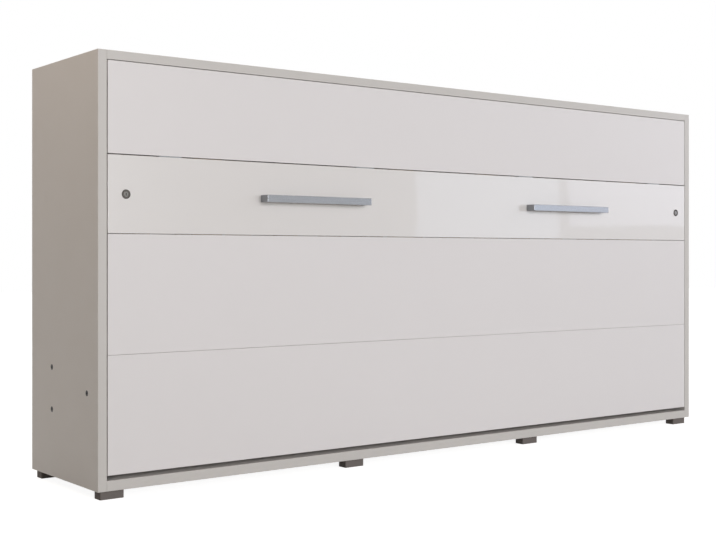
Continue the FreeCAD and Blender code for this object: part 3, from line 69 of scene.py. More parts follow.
MM = 0.001
LOG = logging.getLogger("cabinet_bed")
Point = tuple[float, float, float]
Colour = tuple[float, float, float, float]
Source = bpy.types.NodeSocket | bpy.types.Node
WHITE: Colour = (1.0, 1.0, 1.0, 1.0)
COLOUR_A, COLOUR_B = 6, 7  # a Mix node's two colour inputs, which share their names with other inputs


class Axis(Enum):
    """A direction in the bed's own frame, with its place in a vector."""

    X = 0
    Y = 1
    Z = 2

    def drawn_out(self, ratio: float) -> list[float]:
        """Scale for a pattern in streaks along this axis, that many times longer than wide."""
        return [1.0 / ratio if axis is self else 1.0 for axis in Axis]


class Repeat(Enum):
    """How a wave pattern repeats."""

    BANDS = "BANDS"
    RINGS = "RINGS"


# ---------------------------------------------------------------- colour and node helpers
def linear(hex_colour: str, share: float = 1.0) -> Colour:
    """Turn an sRGB hex colour into linear RGBA.

    Args:
        hex_colour: "#RRGGBB" as seen on a screen.
        share: how much of its light is kept.

    Returns:
        Linear red, green, blue and an alpha of one.
    """
    channels = [int(hex_colour[i:i + 2], 16) / 255 for i in (1, 3, 5)]
    plain = [c / 12.92 if c <= 0.04045 else ((c + 0.055) / 1.055) ** 2.4 for c in channels]
    red, green, blue = (min(1.0, c * share) for c in plain)
    return red, green, blue, 1.0


def per(size: float) -> float:
    """Noise scale whose features are about the given size in metres."""
    return 1.0 / size


def wave_per(period: float) -> float:
    """Wave scale whose stripes repeat at the given distance in metres."""
    return math.pi / (10 * period)


def outlet(source: Source) -> bpy.types.NodeSocket:
    """Find the socket that a link starts from.

    Args:
        source: an output socket, or a node.

    Returns:
        The socket itself, or the first output that the node has in use.
    """
    if isinstance(source, bpy.types.Node):
        return next(socket for socket in source.outputs if socket.enabled)
    return source


class Nodes:
    """The node tree of one material or world, empty at first.

    Attributes:
        tree: the tree.
        shader: a material's Principled shader.
        place: position in the piece's own frame, in metres.
    """

    def __init__(self, owner: bpy.types.Material | bpy.types.World) -> None:
        """Empty the owner's tree.

        Args:
            owner: the material or world.
        """
        owner.use_nodes = True
        self.tree = owner.node_tree
        self.tree.nodes.clear()

    def add(self, kind: str, settings: dict[Any, Any] | None = None,
            links: dict[Any, Source] | None = None) -> bpy.types.Node:
        """Add one node with its settings and links.

        Args:
            kind: the node's type name after "ShaderNode".
            settings: properties by name, or input values by socket name or number.
            links: sources by input socket name or number.

        Returns:
            The new node.
        """
        node = self.tree.nodes.new("ShaderNode" + kind)
        for name, value in (settings or {}).items():
            if isinstance(name, int) or name in node.inputs:
                node.inputs[name].default_value = value
            else:
                setattr(node, name, value)
        for name, source in (links or {}).items():
            self.tree.links.new(outlet(source), node.inputs[name])
        return node

    def surface(self) -> None:
        """Start a material with its shader, its output and the place that patterns are read at."""
        self.shader = self.add("BsdfPrincipled")
        self.add("OutputMaterial", links={"Surface": self.shader})
        self.place = self.add("TexCoord").outputs["Object"]

    def fix(self, values: dict[str, float]) -> None:
        """Set what is the same all over the surface on the shader's own sockets."""
        for name, value in values.items():
            self.shader.inputs[name].default_value = value

    def feed(self, name: str, source: Source) -> None:
        """Link a pattern to one of the shader's inputs."""
        self.tree.links.new(outlet(source), self.shader.inputs[name])

    def mottled(self, size: float, low: Any, high: Any, detail: float = 3.0) -> bpy.types.Node:
        """Draw a cloudy change between two values.

        Args:
            size: size of a cloud.
            low: value, or linear colour, in the hollows.
            high: value, or linear colour, on the peaks.
            detail: how many finer layers the cloud has.

        Returns:
            The node that gives the value or colour.
        """
        cloud = self.add("TexNoise", {"Scale": per(size), "Detail": detail}, {"Vector": self.place})
        if isinstance(low, tuple):
            return self.add("Mix", {"data_type": "RGBA", COLOUR_A: low, COLOUR_B: high}, {0: cloud})
        return self.add("MapRange", {"From Min": 0.3, "From Max": 0.7, "To Min": low, "To Max": high},
                        {"Value": cloud})

    def grained(self, size: float, depth: float, detail: float = 2.0,
                under: bpy.types.Node | None = None) -> bpy.types.Node:
        """Draw a relief of even grain.

        Args:
            size: size of the grain.
            depth: its height.
            detail: how many finer layers it has.
            under: another relief that it lies on.

        Returns:
            The node that gives the relief.
        """
        grain = self.add("TexNoise", {"Scale": per(size), "Detail": detail}, {"Vector": self.place})
        links = {"Height": grain} if under is None else {"Height": grain, "Normal": under}
        return self.add("Bump", {"Distance": depth}, links)

    def woven(self, spacing: float) -> bpy.types.Node:
        """Draw threads that cross over and under, on the flat faces and on the edges.

        Args:
            spacing: distance between threads.

        Returns:
            The node that gives their height, from 0 to 1.
        """
        crossings = []
        for other in (Axis.Z, Axis.Y):
            threads = [self.add("TexWave", {"wave_type": Repeat.BANDS.value, "bands_direction": axis.name,
                                            "Scale": wave_per(spacing), "Distortion": 0.25,
                                            "Detail Scale": 2.0}, {"Vector": self.place}).outputs["Fac"]
                       for axis in (Axis.X, other)]
            crossings.append(self.add("Math", {"operation": "MULTIPLY"}, dict(enumerate(threads))))
        return self.add("Math", {"operation": "MAXIMUM"}, dict(enumerate(crossings)))


# ---------------------------------------------------------------- finishes
@dataclass(frozen=True)
class Finish:
    """A finish: what the real surface is, as one material.

    Attributes:
        name: the material's name.
    """

    name: str

    def dress(self, nodes: Nodes) -> None:
        """Set the shader's own values and draw the surface's pattern.

        Args:
            nodes: the material's node tree, with its shader.
        """
        raise NotImplementedError

    def material(self) -> bpy.types.Material:
        """Make the material once.

        Returns:
            The material, which may have been made for an earlier piece.
        """
        made = bpy.data.materials.get(self.name)
        if made is None:
            made = bpy.data.materials.new(self.name)
            nodes = Nodes(made)
            nodes.surface()
            self.dress(nodes)
        return made


@dataclass(frozen=True)
class Melamine(Finish):
    """Melamine-faced chipboard, pressed against a fine pearl plate, with edging a shade deeper: partly its
    own colour, partly painted shade.

    Attributes:
        thin: the board's thin direction, which its edges don't face.
        face: colour of the pressed face.
        edge_band_shade: colour of the edge banding, darker than the face: partly its own colour and partly
            painted shade.
        roughness: how dull the pressed face is.
        spread: how much that changes in patches.
        patch: size of those patches.
        pearl: size of a pearl of the relief, drawn coarser than real so that it shows.
        relief: its depth.
        cloud: size of the faint clouds in the white.
        cloud_shade: how light the clouds' hollows are.
        edge_turn: how far a normal may lean before the face turns into an edge.
    """

    thin: Axis = Axis.Y
    face: str = "#DEDAD6"
    edge_band_shade: str = "#C9C5C0"
    roughness: float = 0.46
    spread: float = 0.03
    patch: float = 40 * MM
    pearl: float = 1.4 * MM
    relief: float = 0.035 * MM
    cloud: float = 260 * MM
    cloud_shade: float = 0.985
    edge_turn: float = 0.7

    def dress(self, nodes: Nodes) -> None:
        """A soft satin white: the pearl relief breaks the highlight, the edging is a shade deeper, partly
        painted shade.
        """
        nodes.fix({"IOR": 1.5})
        facing = nodes.add("TexCoord").outputs["Normal"]
        parts = nodes.add("SeparateXYZ", links={0: facing})
        size = nodes.add("Math", {"operation": "ABSOLUTE"}, {0: parts.outputs[self.thin.value]})
        on_face = nodes.add("Math", {"operation": "GREATER_THAN", 1: self.edge_turn}, {0: size})
        face = nodes.mottled(self.cloud, linear(self.face, self.cloud_shade), linear(self.face))
        # edges get the darker banding colour: partly the banding's own colour, partly painted shade
        nodes.feed("Base Color", nodes.add("Mix", {"data_type": "RGBA", COLOUR_A: linear(self.edge_band_shade)},
                                           {0: on_face, COLOUR_B: face}))
        nodes.feed("Roughness", nodes.mottled(self.patch, self.roughness - self.spread,
                                              self.roughness + self.spread))
        pearl = nodes.add("TexVoronoi", {"Scale": per(self.pearl), "feature": "SMOOTH_F1"},
                          {"Vector": nodes.place})
        nodes.feed("Normal", nodes.add("Bump", {"Distance": self.relief}, {"Height": pearl}))


@dataclass(frozen=True)
class GlossLacquer(Finish):
    """High-gloss white lacquer, sprayed and polished: mirror-like, with a faint long ripple.

    Attributes:
        colour: colour under the clear coat.
        cloud: size of the faint clouds in it.
        ripple: length and depth of the board's own ripple.
        peel: length and depth of the spray's orange peel.
    """

    colour: str = "#DFDBD8"
    cloud: float = 300 * MM
    ripple: tuple[float, float] = (60 * MM, 0.10 * MM)
    peel: tuple[float, float] = (5 * MM, 0.004 * MM)

    def dress(self, nodes: Nodes) -> None:
        """The clear coat gives a sharp window reflection that bends a little on the ripple."""
        nodes.fix({"IOR": 1.5, "Roughness": 0.3, "Coat Weight": 1.0, "Coat Roughness": 0.035,
                   "Coat IOR": 1.52})
        nodes.feed("Base Color", nodes.mottled(self.cloud, linear(self.colour, 0.99), linear(self.colour)))
        ripple = nodes.grained(*self.ripple, detail=1.0)
        relief = nodes.grained(*self.peel, detail=1.0, under=ripple)
        for normal in ("Normal", "Coat Normal"):
            nodes.feed(normal, relief)


@dataclass(frozen=True)
class PlanedWood(Finish):
    """Planed timber with long grain, growth rings across it and fine pores.

    Attributes:
        along: direction of the grain.
        early: colour of the light wood.
        late: colour of the dark rings.
        pore: colour in the pores.
        ring: distance between rings.
        ring_stretch: how much longer than wide a ring's figure is.
        pore_width: width of a pore, drawn coarser than real so that it shows.
        pore_stretch: how much longer than wide a pore is.
        pore_depth: its depth.
        roughness: how dull the wood is between the pores.
        piece: spacing of separate pieces in the node, each cut from another plank; 0 for one.
    """

    along: Axis = Axis.Z
    early: str = "#D9B98C"
    late: str = "#BE9464"
    pore: str = "#A88563"
    ring: float = 9 * MM
    ring_stretch: float = 14.0
    pore_width: float = 1.1 * MM
    pore_stretch: float = 30.0
    pore_depth: float = 0.06 * MM
    roughness: float = 0.48
    piece: float = 0.0

    def dress(self, nodes: Nodes) -> None:
        """Grain streaks and a change of tone from piece to piece tell that it is real wood."""
        nodes.fix({"IOR": 1.5})
        spot = nodes.place
        tone = None
        if self.piece:
            parts = nodes.add("SeparateXYZ", links={0: spot})
            count = nodes.add("Math", {"operation": "DIVIDE", 1: self.piece}, {0: parts.outputs[0]})
            whole = nodes.add("Math", {"operation": "FLOOR"}, {0: count})
            chance = nodes.add("TexWhiteNoise", {"noise_dimensions": "1D"}, {"W": whole})
            spot = nodes.add("VectorMath", {"operation": "ADD"}, {0: spot, 1: chance.outputs["Color"]})
            tone = chance.outputs["Value"]
        figure = nodes.add("Mapping", {"Scale": self.along.drawn_out(self.ring_stretch)}, {"Vector": spot})
        rings = nodes.add("TexNoise", {"Scale": per(self.ring), "Detail": 2.5, "Roughness": 0.55,
                                       "Distortion": 1.2}, {"Vector": figure})
        bands = nodes.add("MapRange", {"From Min": 0.35, "From Max": 0.68}, {"Value": rings})
        wood = nodes.add("Mix", {"data_type": "RGBA", COLOUR_A: linear(self.early),
                                 COLOUR_B: linear(self.late)}, {0: bands})
        lines = nodes.add("Mapping", {"Scale": self.along.drawn_out(self.pore_stretch)}, {"Vector": spot})
        pores = nodes.add("TexNoise", {"Scale": per(self.pore_width), "Detail": 2.0}, {"Vector": lines})
        dark = nodes.add("MapRange", {"From Min": 0.56, "From Max": 0.72, "To Max": 0.35}, {"Value": pores})
        colour = nodes.add("Mix", {"data_type": "RGBA", "blend_type": "MULTIPLY",
                                   COLOUR_B: linear(self.pore)}, {0: dark, COLOUR_A: wood})
        if tone is not None:
            lift = nodes.add("MapRange", {"To Min": 0.88, "To Max": 1.08}, {"Value": tone})
            colour = nodes.add("VectorMath", {"operation": "SCALE"}, {0: colour, "Scale": lift})
        nodes.feed("Base Color", colour)
        rough = {"To Min": self.roughness - 0.06, "To Max": self.roughness + 0.12}
        nodes.feed("Roughness", nodes.add("MapRange", rough, {"Value": pores}))
        nodes.feed("Normal", nodes.add("Bump", {"Distance": self.pore_depth, "Strength": 0.7},
                                       {"Height": pores}))


@dataclass(frozen=True)
class Hardboard(Finish):
    """Thin hardboard with a printed white face towards the room and bare fibre towards the wall.

    Attributes:
        white: colour of the printed face.
        fibre: colour of the bare fibre.
        strand: size of a tuft of fibres, drawn coarser than real so that it shows.
        depth: depth between the tufts.
        patch: size of the uneven patches of the pressing.
    """

    white: str = "#D8D4CE"
    fibre: str = "#A98860"
    strand: float = 11 * MM
    depth: float = 0.08 * MM
    patch: float = 350 * MM

    def dress(self, nodes: Nodes) -> None:
        """The bare side shows pressed brown fibres, the printed side is plain and a little shiny."""
        nodes.fix({"IOR": 1.5})
        facing = nodes.add("TexCoord").outputs["Normal"]
        parts = nodes.add("SeparateXYZ", links={0: facing})
        bare = nodes.add("Math", {"operation": "GREATER_THAN", 1: -0.5}, {0: parts.outputs[1]})
        fibre = nodes.add("TexNoise", {"Scale": per(self.strand), "Detail": 6.0, "Roughness": 0.72,
                                       "Distortion": 1.6}, {"Vector": nodes.place})
        board = nodes.add("Mix", {"data_type": "RGBA", COLOUR_A: linear(self.fibre, 0.72),
                                  COLOUR_B: linear(self.fibre, 1.25)}, {0: fibre})
        patch = nodes.mottled(self.patch, (0.93, 0.93, 0.93, 1.0), WHITE)
        board = nodes.add("Mix", {"data_type": "RGBA", "blend_type": "MULTIPLY", 0: 1.0},
                          {COLOUR_A: board, COLOUR_B: patch})
        nodes.feed("Base Color", nodes.add("Mix", {"data_type": "RGBA", COLOUR_A: linear(self.white)},
                                           {0: bare, COLOUR_B: board}))
        nodes.feed("Roughness", nodes.add("MapRange", {"To Min": 0.42, "To Max": 0.78}, {"Value": bare}))
        nodes.feed("Normal", nodes.add("Bump", {"Distance": self.depth, "Strength": 0.6},
                                       {"Height": fibre}))


@dataclass(frozen=True)
class MouldedPlastic(Finish):
    """Injection-moulded plastic out of a spark-eroded mould: an even fine grain.

    Attributes:
        colour: colour of the plastic.
        roughness: how dull its grain makes it.
        grain: size of the grain, drawn coarser than real so that it shows.
        depth: its depth.
        gloss: strength of its reflection; 0.5 is a plain plastic.
        cloud: size of the faint clouds in its colour.
        patch: size of the patches in its gloss.
    """

    colour: str = "#333336"
    roughness: float = 0.42
    grain: float = 0.9 * MM
    depth: float = 0.03 * MM
    gloss: float = 0.5
    cloud: float = 12 * MM
    patch: float = 6 * MM

    def dress(self, nodes: Nodes) -> None:
        """The grain spreads the highlight, so edges glow softly instead of flashing."""
        nodes.fix({"IOR": 1.5, "Specular IOR Level": self.gloss})
        nodes.feed("Base Color", nodes.mottled(self.cloud, linear(self.colour, 0.9), linear(self.colour)))
        nodes.feed("Roughness", nodes.mottled(self.patch, self.roughness - 0.05,
                                              self.roughness + 0.06))
        nodes.feed("Normal", nodes.grained(self.grain, self.depth))


@dataclass(frozen=True)
class BrushedMetal(Finish):
    """Metal drawn or brushed one way, anodised, plated or bare.

    Attributes:
        colour: colour of the bare or plated metal.
        along: direction of the brush lines.
        roughness: width of the highlight.
        line: width of a brush line, drawn coarser than real so that it shows.
        line_stretch: how much longer than wide a line is.
        depth: depth of the lines.
    """

    colour: str = "#A7ABB0"
    along: Axis = Axis.X
    roughness: float = 0.32
    line: float = 0.8 * MM
    line_stretch: float = 60.0
    depth: float = 0.008 * MM

    def dress(self, nodes: Nodes) -> None:
        """Long fine lines draw the reflection out across the brushing."""
        nodes.fix({"Metallic": 1.0})
        drawn = nodes.add("Mapping", {"Scale": self.along.drawn_out(self.line_stretch)},
                          {"Vector": nodes.place})
        streaks = nodes.add("TexNoise", {"Scale": per(self.line), "Detail": 3.0}, {"Vector": drawn})
        nodes.feed("Base Color", nodes.add("Mix", {"data_type": "RGBA", COLOUR_A: linear(self.colour, 0.86),
                                                   COLOUR_B: linear(self.colour)}, {0: streaks}))
        rough = {"To Min": self.roughness - 0.06, "To Max": self.roughness + 0.08}
        nodes.feed("Roughness", nodes.add("MapRange", rough, {"Value": streaks}))
        nodes.feed("Normal", nodes.add("Bump", {"Distance": self.depth}, {"Height": streaks}))


@dataclass(frozen=True)
class PlatedMetal(Finish):
    """Plated or polished metal with no brush lines: zinc, chrome or blackened steel.

    Attributes:
        colour: main colour of the plating.
        cast: colour of its faint clouds.
        roughness: width of the highlight.
        cloud: size of the clouds; the gloss changes at half of it. The grain is an eighth, which
            is coarser than real so that it shows.
        depth: depth of the grain.
    """

    colour: str = "#9EA1A3"
    cast: str = "#8C9197"
    roughness: float = 0.34
    cloud: float = 5 * MM
    depth: float = 0.004 * MM

    def dress(self, nodes: Nodes) -> None:
        """Clouds in colour and gloss show the crystals or stains of the plating."""
        nodes.fix({"Metallic": 1.0})
        nodes.feed("Base Color", nodes.mottled(self.cloud, linear(self.cast), linear(self.colour), 4.0))
        nodes.feed("Roughness", nodes.mottled(self.cloud / 2, self.roughness * 0.8, self.roughness * 1.25))
        nodes.feed("Normal", nodes.grained(self.cloud / 8, self.depth))


@dataclass(frozen=True)
class TurnedFace(Finish):
    """Nickel-plated face with rings left by the lathe round the lock's axis.

    Attributes:
        centre: a point on the axis, which runs along Y.
        colour: colour of the nickel.
        ring: distance between rings, drawn coarser than real so that they show.
        depth: depth of a ring.
        patch: size of the patches in the gloss.
    """

    centre: Point = (0.0, 0.0, 0.0)
    colour: str = "#85837F"
    ring: float = 0.5 * MM
    depth: float = 0.001 * MM
    patch: float = 2 * MM

    def dress(self, nodes: Nodes) -> None:
        """Rings make the highlight a pair of bright fans on the small disc."""
        nodes.fix({"Metallic": 1.0})
        moved = nodes.add("VectorMath", {"operation": "SUBTRACT", 1: self.centre}, {0: nodes.place})
        rings = nodes.add("TexWave", {"wave_type": Repeat.RINGS.value, "rings_direction": "Y",
                                      "Scale": wave_per(self.ring), "Distortion": 0.4},
                          {"Vector": moved}).outputs["Fac"]
        nodes.feed("Base Color", nodes.add("Mix", {"data_type": "RGBA", COLOUR_A: linear(self.colour, 0.8),
                                                   COLOUR_B: linear(self.colour)}, {0: rings}))
        nodes.feed("Roughness", nodes.mottled(self.patch, 0.1, 0.16))
        nodes.feed("Normal", nodes.add("Bump", {"Distance": self.depth}, {"Height": rings}))


@dataclass(frozen=True)
class EnamelledTube(Finish):
    """Baked enamel on a drawn tube: glossy, with a faint orange peel.

    Attributes:
        colour: colour of the enamel.
        cloud: size of the faint clouds in it.
        peel: length and depth of the orange peel.
    """

    colour: str = "#1B1B1D"
    cloud: float = 20 * MM
    peel: tuple[float, float] = (1.6 * MM, 0.02 * MM)

    def dress(self, nodes: Nodes) -> None:
        """The coat gives one long bright line down the tube."""
        nodes.fix({"Roughness": 0.35, "Coat Weight": 0.7, "Coat Roughness": 0.12})
        nodes.feed("Base Color", nodes.mottled(self.cloud, linear(self.colour, 0.8), linear(self.colour)))
        nodes.feed("Normal", nodes.grained(*self.peel, detail=1.0))


@dataclass(frozen=True)
class Rubber(Finish):
    """Extruded black rubber: dull, with a light bloom on the surface.

    Attributes:
        colour: colour of the rubber.
        bloom: colour of the bloom.
        patch: size of a patch of bloom.
        dull: size of the patches in the gloss.
        grain: size and depth of the grain, drawn coarser than real so that it shows.
    """

    colour: str = "#1F1F20"
    bloom: str = "#2F2F31"
    patch: float = 4 * MM
    dull: float = 3 * MM
    grain: tuple[float, float] = (0.8 * MM, 0.03 * MM)

    def dress(self, nodes: Nodes) -> None:
        """Patchy bloom and a wide highlight set it apart from the plastics."""
        nodes.feed("Base Color", nodes.mottled(self.patch, linear(self.colour), linear(self.bloom)))
        nodes.feed("Roughness", nodes.mottled(self.dull, 0.62, 0.8))
        nodes.feed("Normal", nodes.grained(*self.grain))


@dataclass(frozen=True)
class KnitTicking(Finish):
    """Knitted polyester ticking, quilted: a soft loop texture with stitch lines where the diamonds meet.

    Attributes:
        colour: colour of the yarn.
        hollow_shade: painted shade between the loops and in the stitched valleys.
        loop: distance between knitted loops, drawn coarser than real so that it shows.
        loop_depth: depth between the loops.
        diamond: distance between quilting lines along X and Z; 0 for none.
        origin: X and Z where two quilting lines cross.
        border: height along Y below which the cloth is plain border.
        stitch: width of a sewn line.
        valley: depth of a sewn line.
    """

    colour: str = "#E4E2DD"
    hollow_shade: str = "#C2BFB8"
    loop: float = 3.2 * MM
    loop_depth: float = 0.35 * MM
    diamond: float = 0.0
    origin: tuple[float, float] = (0.0, 0.0)
    border: float = 0.0
    stitch: float = 1.6 * MM
    valley: float = 0.8 * MM

    def quilting(self, nodes: Nodes) -> bpy.types.Node:
        """Draw the stitch lines.

        Args:
            nodes: the material's node tree.

        Returns:
            The node that gives one on the lines and zero away from them.
        """
        parts = nodes.add("SeparateXYZ", links={0: nodes.place})
        from_cross = [nodes.add("Math", {"operation": "SUBTRACT", 1: start}, {0: parts.outputs[axis.value]})
                      for axis, start in zip((Axis.X, Axis.Z), self.origin)]
        lines = []
        for operation in ("ADD", "SUBTRACT"):
            slant = nodes.add("Math", {"operation": operation}, dict(enumerate(from_cross)))
            fold = nodes.add("Math", {"operation": "PINGPONG", 1: self.diamond / 2}, {0: slant})
            lines.append(nodes.add("MapRange", {"From Max": self.stitch, "To Min": 1.0, "To Max": 0.0},
                                   {"Value": fold}))
        either = nodes.add("Math", {"operation": "MAXIMUM"}, dict(enumerate(lines)))
        above = nodes.add("Math", {"operation": "GREATER_THAN", 1: self.border}, {0: parts.outputs[1]})
        return nodes.add("Math", {"operation": "MULTIPLY"}, {0: either, 1: above})

    def dress(self, nodes: Nodes) -> None:
        """Loops with painted shade between them, a little sheen at grazing angles and painted shade in the
        stitched valleys read as soft knit.
        """
        nodes.fix({"Roughness": 0.86, "Sheen Weight": 0.25, "Sheen Roughness": 0.5})
        loops = nodes.woven(self.loop)
        # painted shade between the loops
        cloth = nodes.add("Mix", {"data_type": "RGBA", COLOUR_A: linear(self.hollow_shade),
                                  COLOUR_B: linear(self.colour)}, {0: loops})
        colour = nodes.add("Mix", {"data_type": "RGBA", 0: 0.55, COLOUR_B: linear(self.colour)},
                           {COLOUR_A: cloth})
        relief = nodes.add("Bump", {"Distance": self.loop_depth, "Strength": 0.6}, {"Height": loops})
        if self.diamond:
            sewn = self.quilting(nodes)
            # painted shade in the stitched valleys
            colour = nodes.add("Mix", {"data_type": "RGBA", COLOUR_B: linear(self.hollow_shade)},
                               {0: sewn, COLOUR_A: colour})
            sunk = nodes.add("Math", {"operation": "SUBTRACT", 0: 1.0}, {1: sewn})
            relief = nodes.add("Bump", {"Distance": self.valley}, {"Height": sunk, "Normal": relief})
        nodes.feed("Base Color", colour)
        nodes.feed("Normal", relief)


@dataclass(frozen=True)
class Webbing(Finish):
    """Woven polyester webbing: ribs across the strap and a thicker woven edge.

    Attributes:
        colour: colour of the yarn.
        hollow_shade: painted shade between the ribs.
        rib: distance between ribs, drawn coarser than real so that it shows.
        depth: depth between them.
    """

    colour: str = "#3A3B3E"
    hollow_shade: str = "#17181A"
    rib: float = 2.4 * MM
    depth: float = 0.4 * MM

    def dress(self, nodes: Nodes) -> None:
        """Crossing ribs with painted shade between them and a soft sheen keep the dark strap from looking
        like rubber.
        """
        nodes.fix({"Roughness": 0.7, "Sheen Weight": 0.3})
        threads = nodes.woven(self.rib)
        # painted shade between the ribs
        nodes.feed("Base Color", nodes.add("Mix", {"data_type": "RGBA", COLOUR_A: linear(self.hollow_shade),
                                                   COLOUR_B: linear(self.colour)}, {0: threads}))
        nodes.feed("Normal", nodes.add("Bump", {"Distance": self.depth}, {"Height": threads}))


ZINC = PlatedMetal("zinc_plated_steel")
WHITE_PLASTIC = MouldedPlastic("white_moulded_plastic", colour="#D9D8D4", roughness=0.38)


# ---------------------------------------------------------------- dressing and mesh helpers
def dress_nodes(finish: Finish, *names: str) -> None:
    """Give CAD nodes their material.

    Args:
        finish: what their surface is.
        names: the nodes' names.
    """
    for name in names:
        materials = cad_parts[name].data.materials
        materials.clear()
        materials.append(finish.material())
        LOG.info("%s: %s", name, finish.name)


def board(name: str) -> Melamine:
    """Make a board's finish.

    Args:
        name: the board's node, whose size tells its thin direction.

    Returns:
        The finish.
    """
    low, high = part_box(name)
    size = high - low
    thin = min(Axis, key=lambda axis: size[axis.value])
    return Melamine(f"melamine_{thin.name.lower()}", thin=thin)


def carried(mesh: bpy.types.Mesh, finish: Finish, body: str) -> bpy.types.Object:
    """Make a smooth-shaded piece out of a mesh and let a body carry it.

    Args:
        mesh: its mesh, which also gives its name.
        finish: what its surface is.
        body: body that carries it.

    Returns:
        The new object.
    """
    shell = bmesh.new()
    shell.from_mesh(mesh)
    bmesh.ops.recalc_face_normals(shell, faces=shell.faces)
    shell.to_mesh(mesh)
    shell.free()
    mesh.shade_smooth()
    mesh.materials.append(finish.material())
    piece = bpy.data.objects.new(mesh.name, mesh)
    bpy.context.scene.collection.objects.link(piece)
    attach(piece, body)
    LOG.info("%s rides on %s", piece.name, body)
    return piece


def mesh_of(name: str, points: Sequence[Point], faces: Iterable[Sequence[int]]) -> bpy.types.Mesh:
    """Make a mesh from its corners and faces.

    Args:
        name: the mesh's name.
        points: corners in metres.
        faces: corners of each face.

    Returns:
        The new mesh.
    """
    mesh = bpy.data.meshes.new(name)
    mesh.from_pydata(points, [], list(faces))
    mesh.validate()
    return mesh


# ---------------------------------------------------------------- cabinet
@dataclass
class Carcass:
    """The standing cabinet: panels, rails, back, feet and the fittings that join them."""

    panels: tuple[str, ...] = ("side_panel_left", "side_panel_right", "top_panel", "bottom_panel",
                               "rear_rail_lower", "rear_rail_upper")
    zinc: tuple[str, ...] = ("wall_plates", "foot_screws", "corner_fittings", "cabinet_screws",
                             "lock_strikes", "stop_pins", "strut_upper_studs", "cabinet_bracket_left",
                             "cabinet_bracket_right")

    def build(self) -> None:
        """Dress every node of the cabinet."""
        for name in self.panels:
            dress_nodes(board(name), name)
        dress_nodes(Hardboard("white_faced_hardboard"), "back_panel_left", "back_panel_right")
        dress_nodes(MouldedPlastic("grey_moulded_feet", colour="#77706C", roughness=0.6, gloss=0.15),
                    "front_feet", "rear_feet")
        dress_nodes(WHITE_PLASTIC, "back_joint_profile", "closed_stops")
        dress_nodes(ZINC, *self.zinc)
        dress_nodes(PlatedMetal("blackened_steel", colour="#3C3B3B", cast="#2E2D2E", roughness=0.4),
                    "pivot_bolts", "bracket_bolts")
        dress_nodes(PlanedWood("fluted_beech_dowels", along=Axis.X, ring=3 * MM), "corner_dowels")
        dress_nodes(Rubber("black_rubber"), "stop_sleeves")


@dataclass
class GasStruts:
    """The two gas struts: an enamelled tube and a chromed rod on each side."""

    tubes: tuple[str, ...] = ("strut_tube_left", "strut_tube_right")
    rods: tuple[str, ...] = ("strut_rod_left", "strut_rod_right")

    def build(self) -> None:
        """Dress the tubes and the rods."""
        dress_nodes(EnamelledTube("black_enamelled_tube"), *self.tubes)
        dress_nodes(PlatedMetal("hard_chrome_rod", colour="#C9CBCE", cast="#BFC2C6", roughness=0.08,
                                cloud=14 * MM), *self.rods)


# ---------------------------------------------------------------- bed
@dataclass
class FoldingBed:
    """The bed's front boards, frame, slats and fittings."""

    fronts: tuple[str, ...] = ("front_board_lower", "front_board_middle", "front_board_upper")
    frames: tuple[str, ...] = ("bed_rail_near", "bed_rail_far", "bed_end_left", "bed_end_right")
    zinc: tuple[str, ...] = ("bed_screws", "bed_bracket_left", "bed_bracket_right", "strut_lower_studs",
                             "hinge_leaves_fixed", "hinge_pins")
    slat_count: int = 14
    spruce: tuple[str, str] = ("#DFC398", "#C49A64")

    def build(self) -> None:
        """Dress every node of the bed but the mattress and its straps."""
        # the fronts' edges are a shade deeper: partly the banding's own colour, partly painted shade
        dress_nodes(Melamine("melamine_front", face="#E3DFDE", edge_band_shade="#D2CFCC"), *self.fronts)
        for name in self.frames:
            dress_nodes(board(name), name)
        low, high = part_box("bed_rail_near")
        pitch = (high.x - low.x) / self.slat_count
        early, late = self.spruce
        dress_nodes(PlanedWood("lacquered_beech_slats", piece=pitch), "slats")
        dress_nodes(PlanedWood("planed_spruce", early=early, late=late, piece=pitch), "cross_battens")
        dress_nodes(PlanedWood("planed_spruce_ledgers", along=Axis.X, early=early, late=late),
                    "slat_ledgers")
        dress_nodes(ZINC, *self.zinc)
        dress_nodes(WHITE_PLASTIC, "pivot_bushes")


@dataclass
class GlossLeg:
    """The glossy strip that swings out as the leg, with its handles, locks and hinges."""

    handles: tuple[str, ...] = ("handle_left", "handle_right")
    zinc: tuple[str, ...] = ("hinge_leaves_moving", "leg_screws", "lock_cam_left", "lock_cam_right")

    def build(self) -> None:
        """Dress every node of the leg and of the two locks."""
        dress_nodes(GlossLacquer("gloss_white_lacquer"), "leg_panel")
        dress_nodes(BrushedMetal("anodised_aluminium", colour="#95979B", roughness=0.22), *self.handles)
        for side in ("left", "right"):
            low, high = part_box(f"lock_cylinder_{side}")
            centre = ((low.x + high.x) / 2, low.y, (low.z + high.z) / 2)
            dress_nodes(TurnedFace(f"turned_nickel_{side}", centre=centre), f"lock_cylinder_{side}")
        dress_nodes(ZINC, *self.zinc)
        dress_nodes(PlatedMetal("dark_nickel_housing", colour="#474441", cast="#393633", roughness=0.36),
                    "lock_housings")


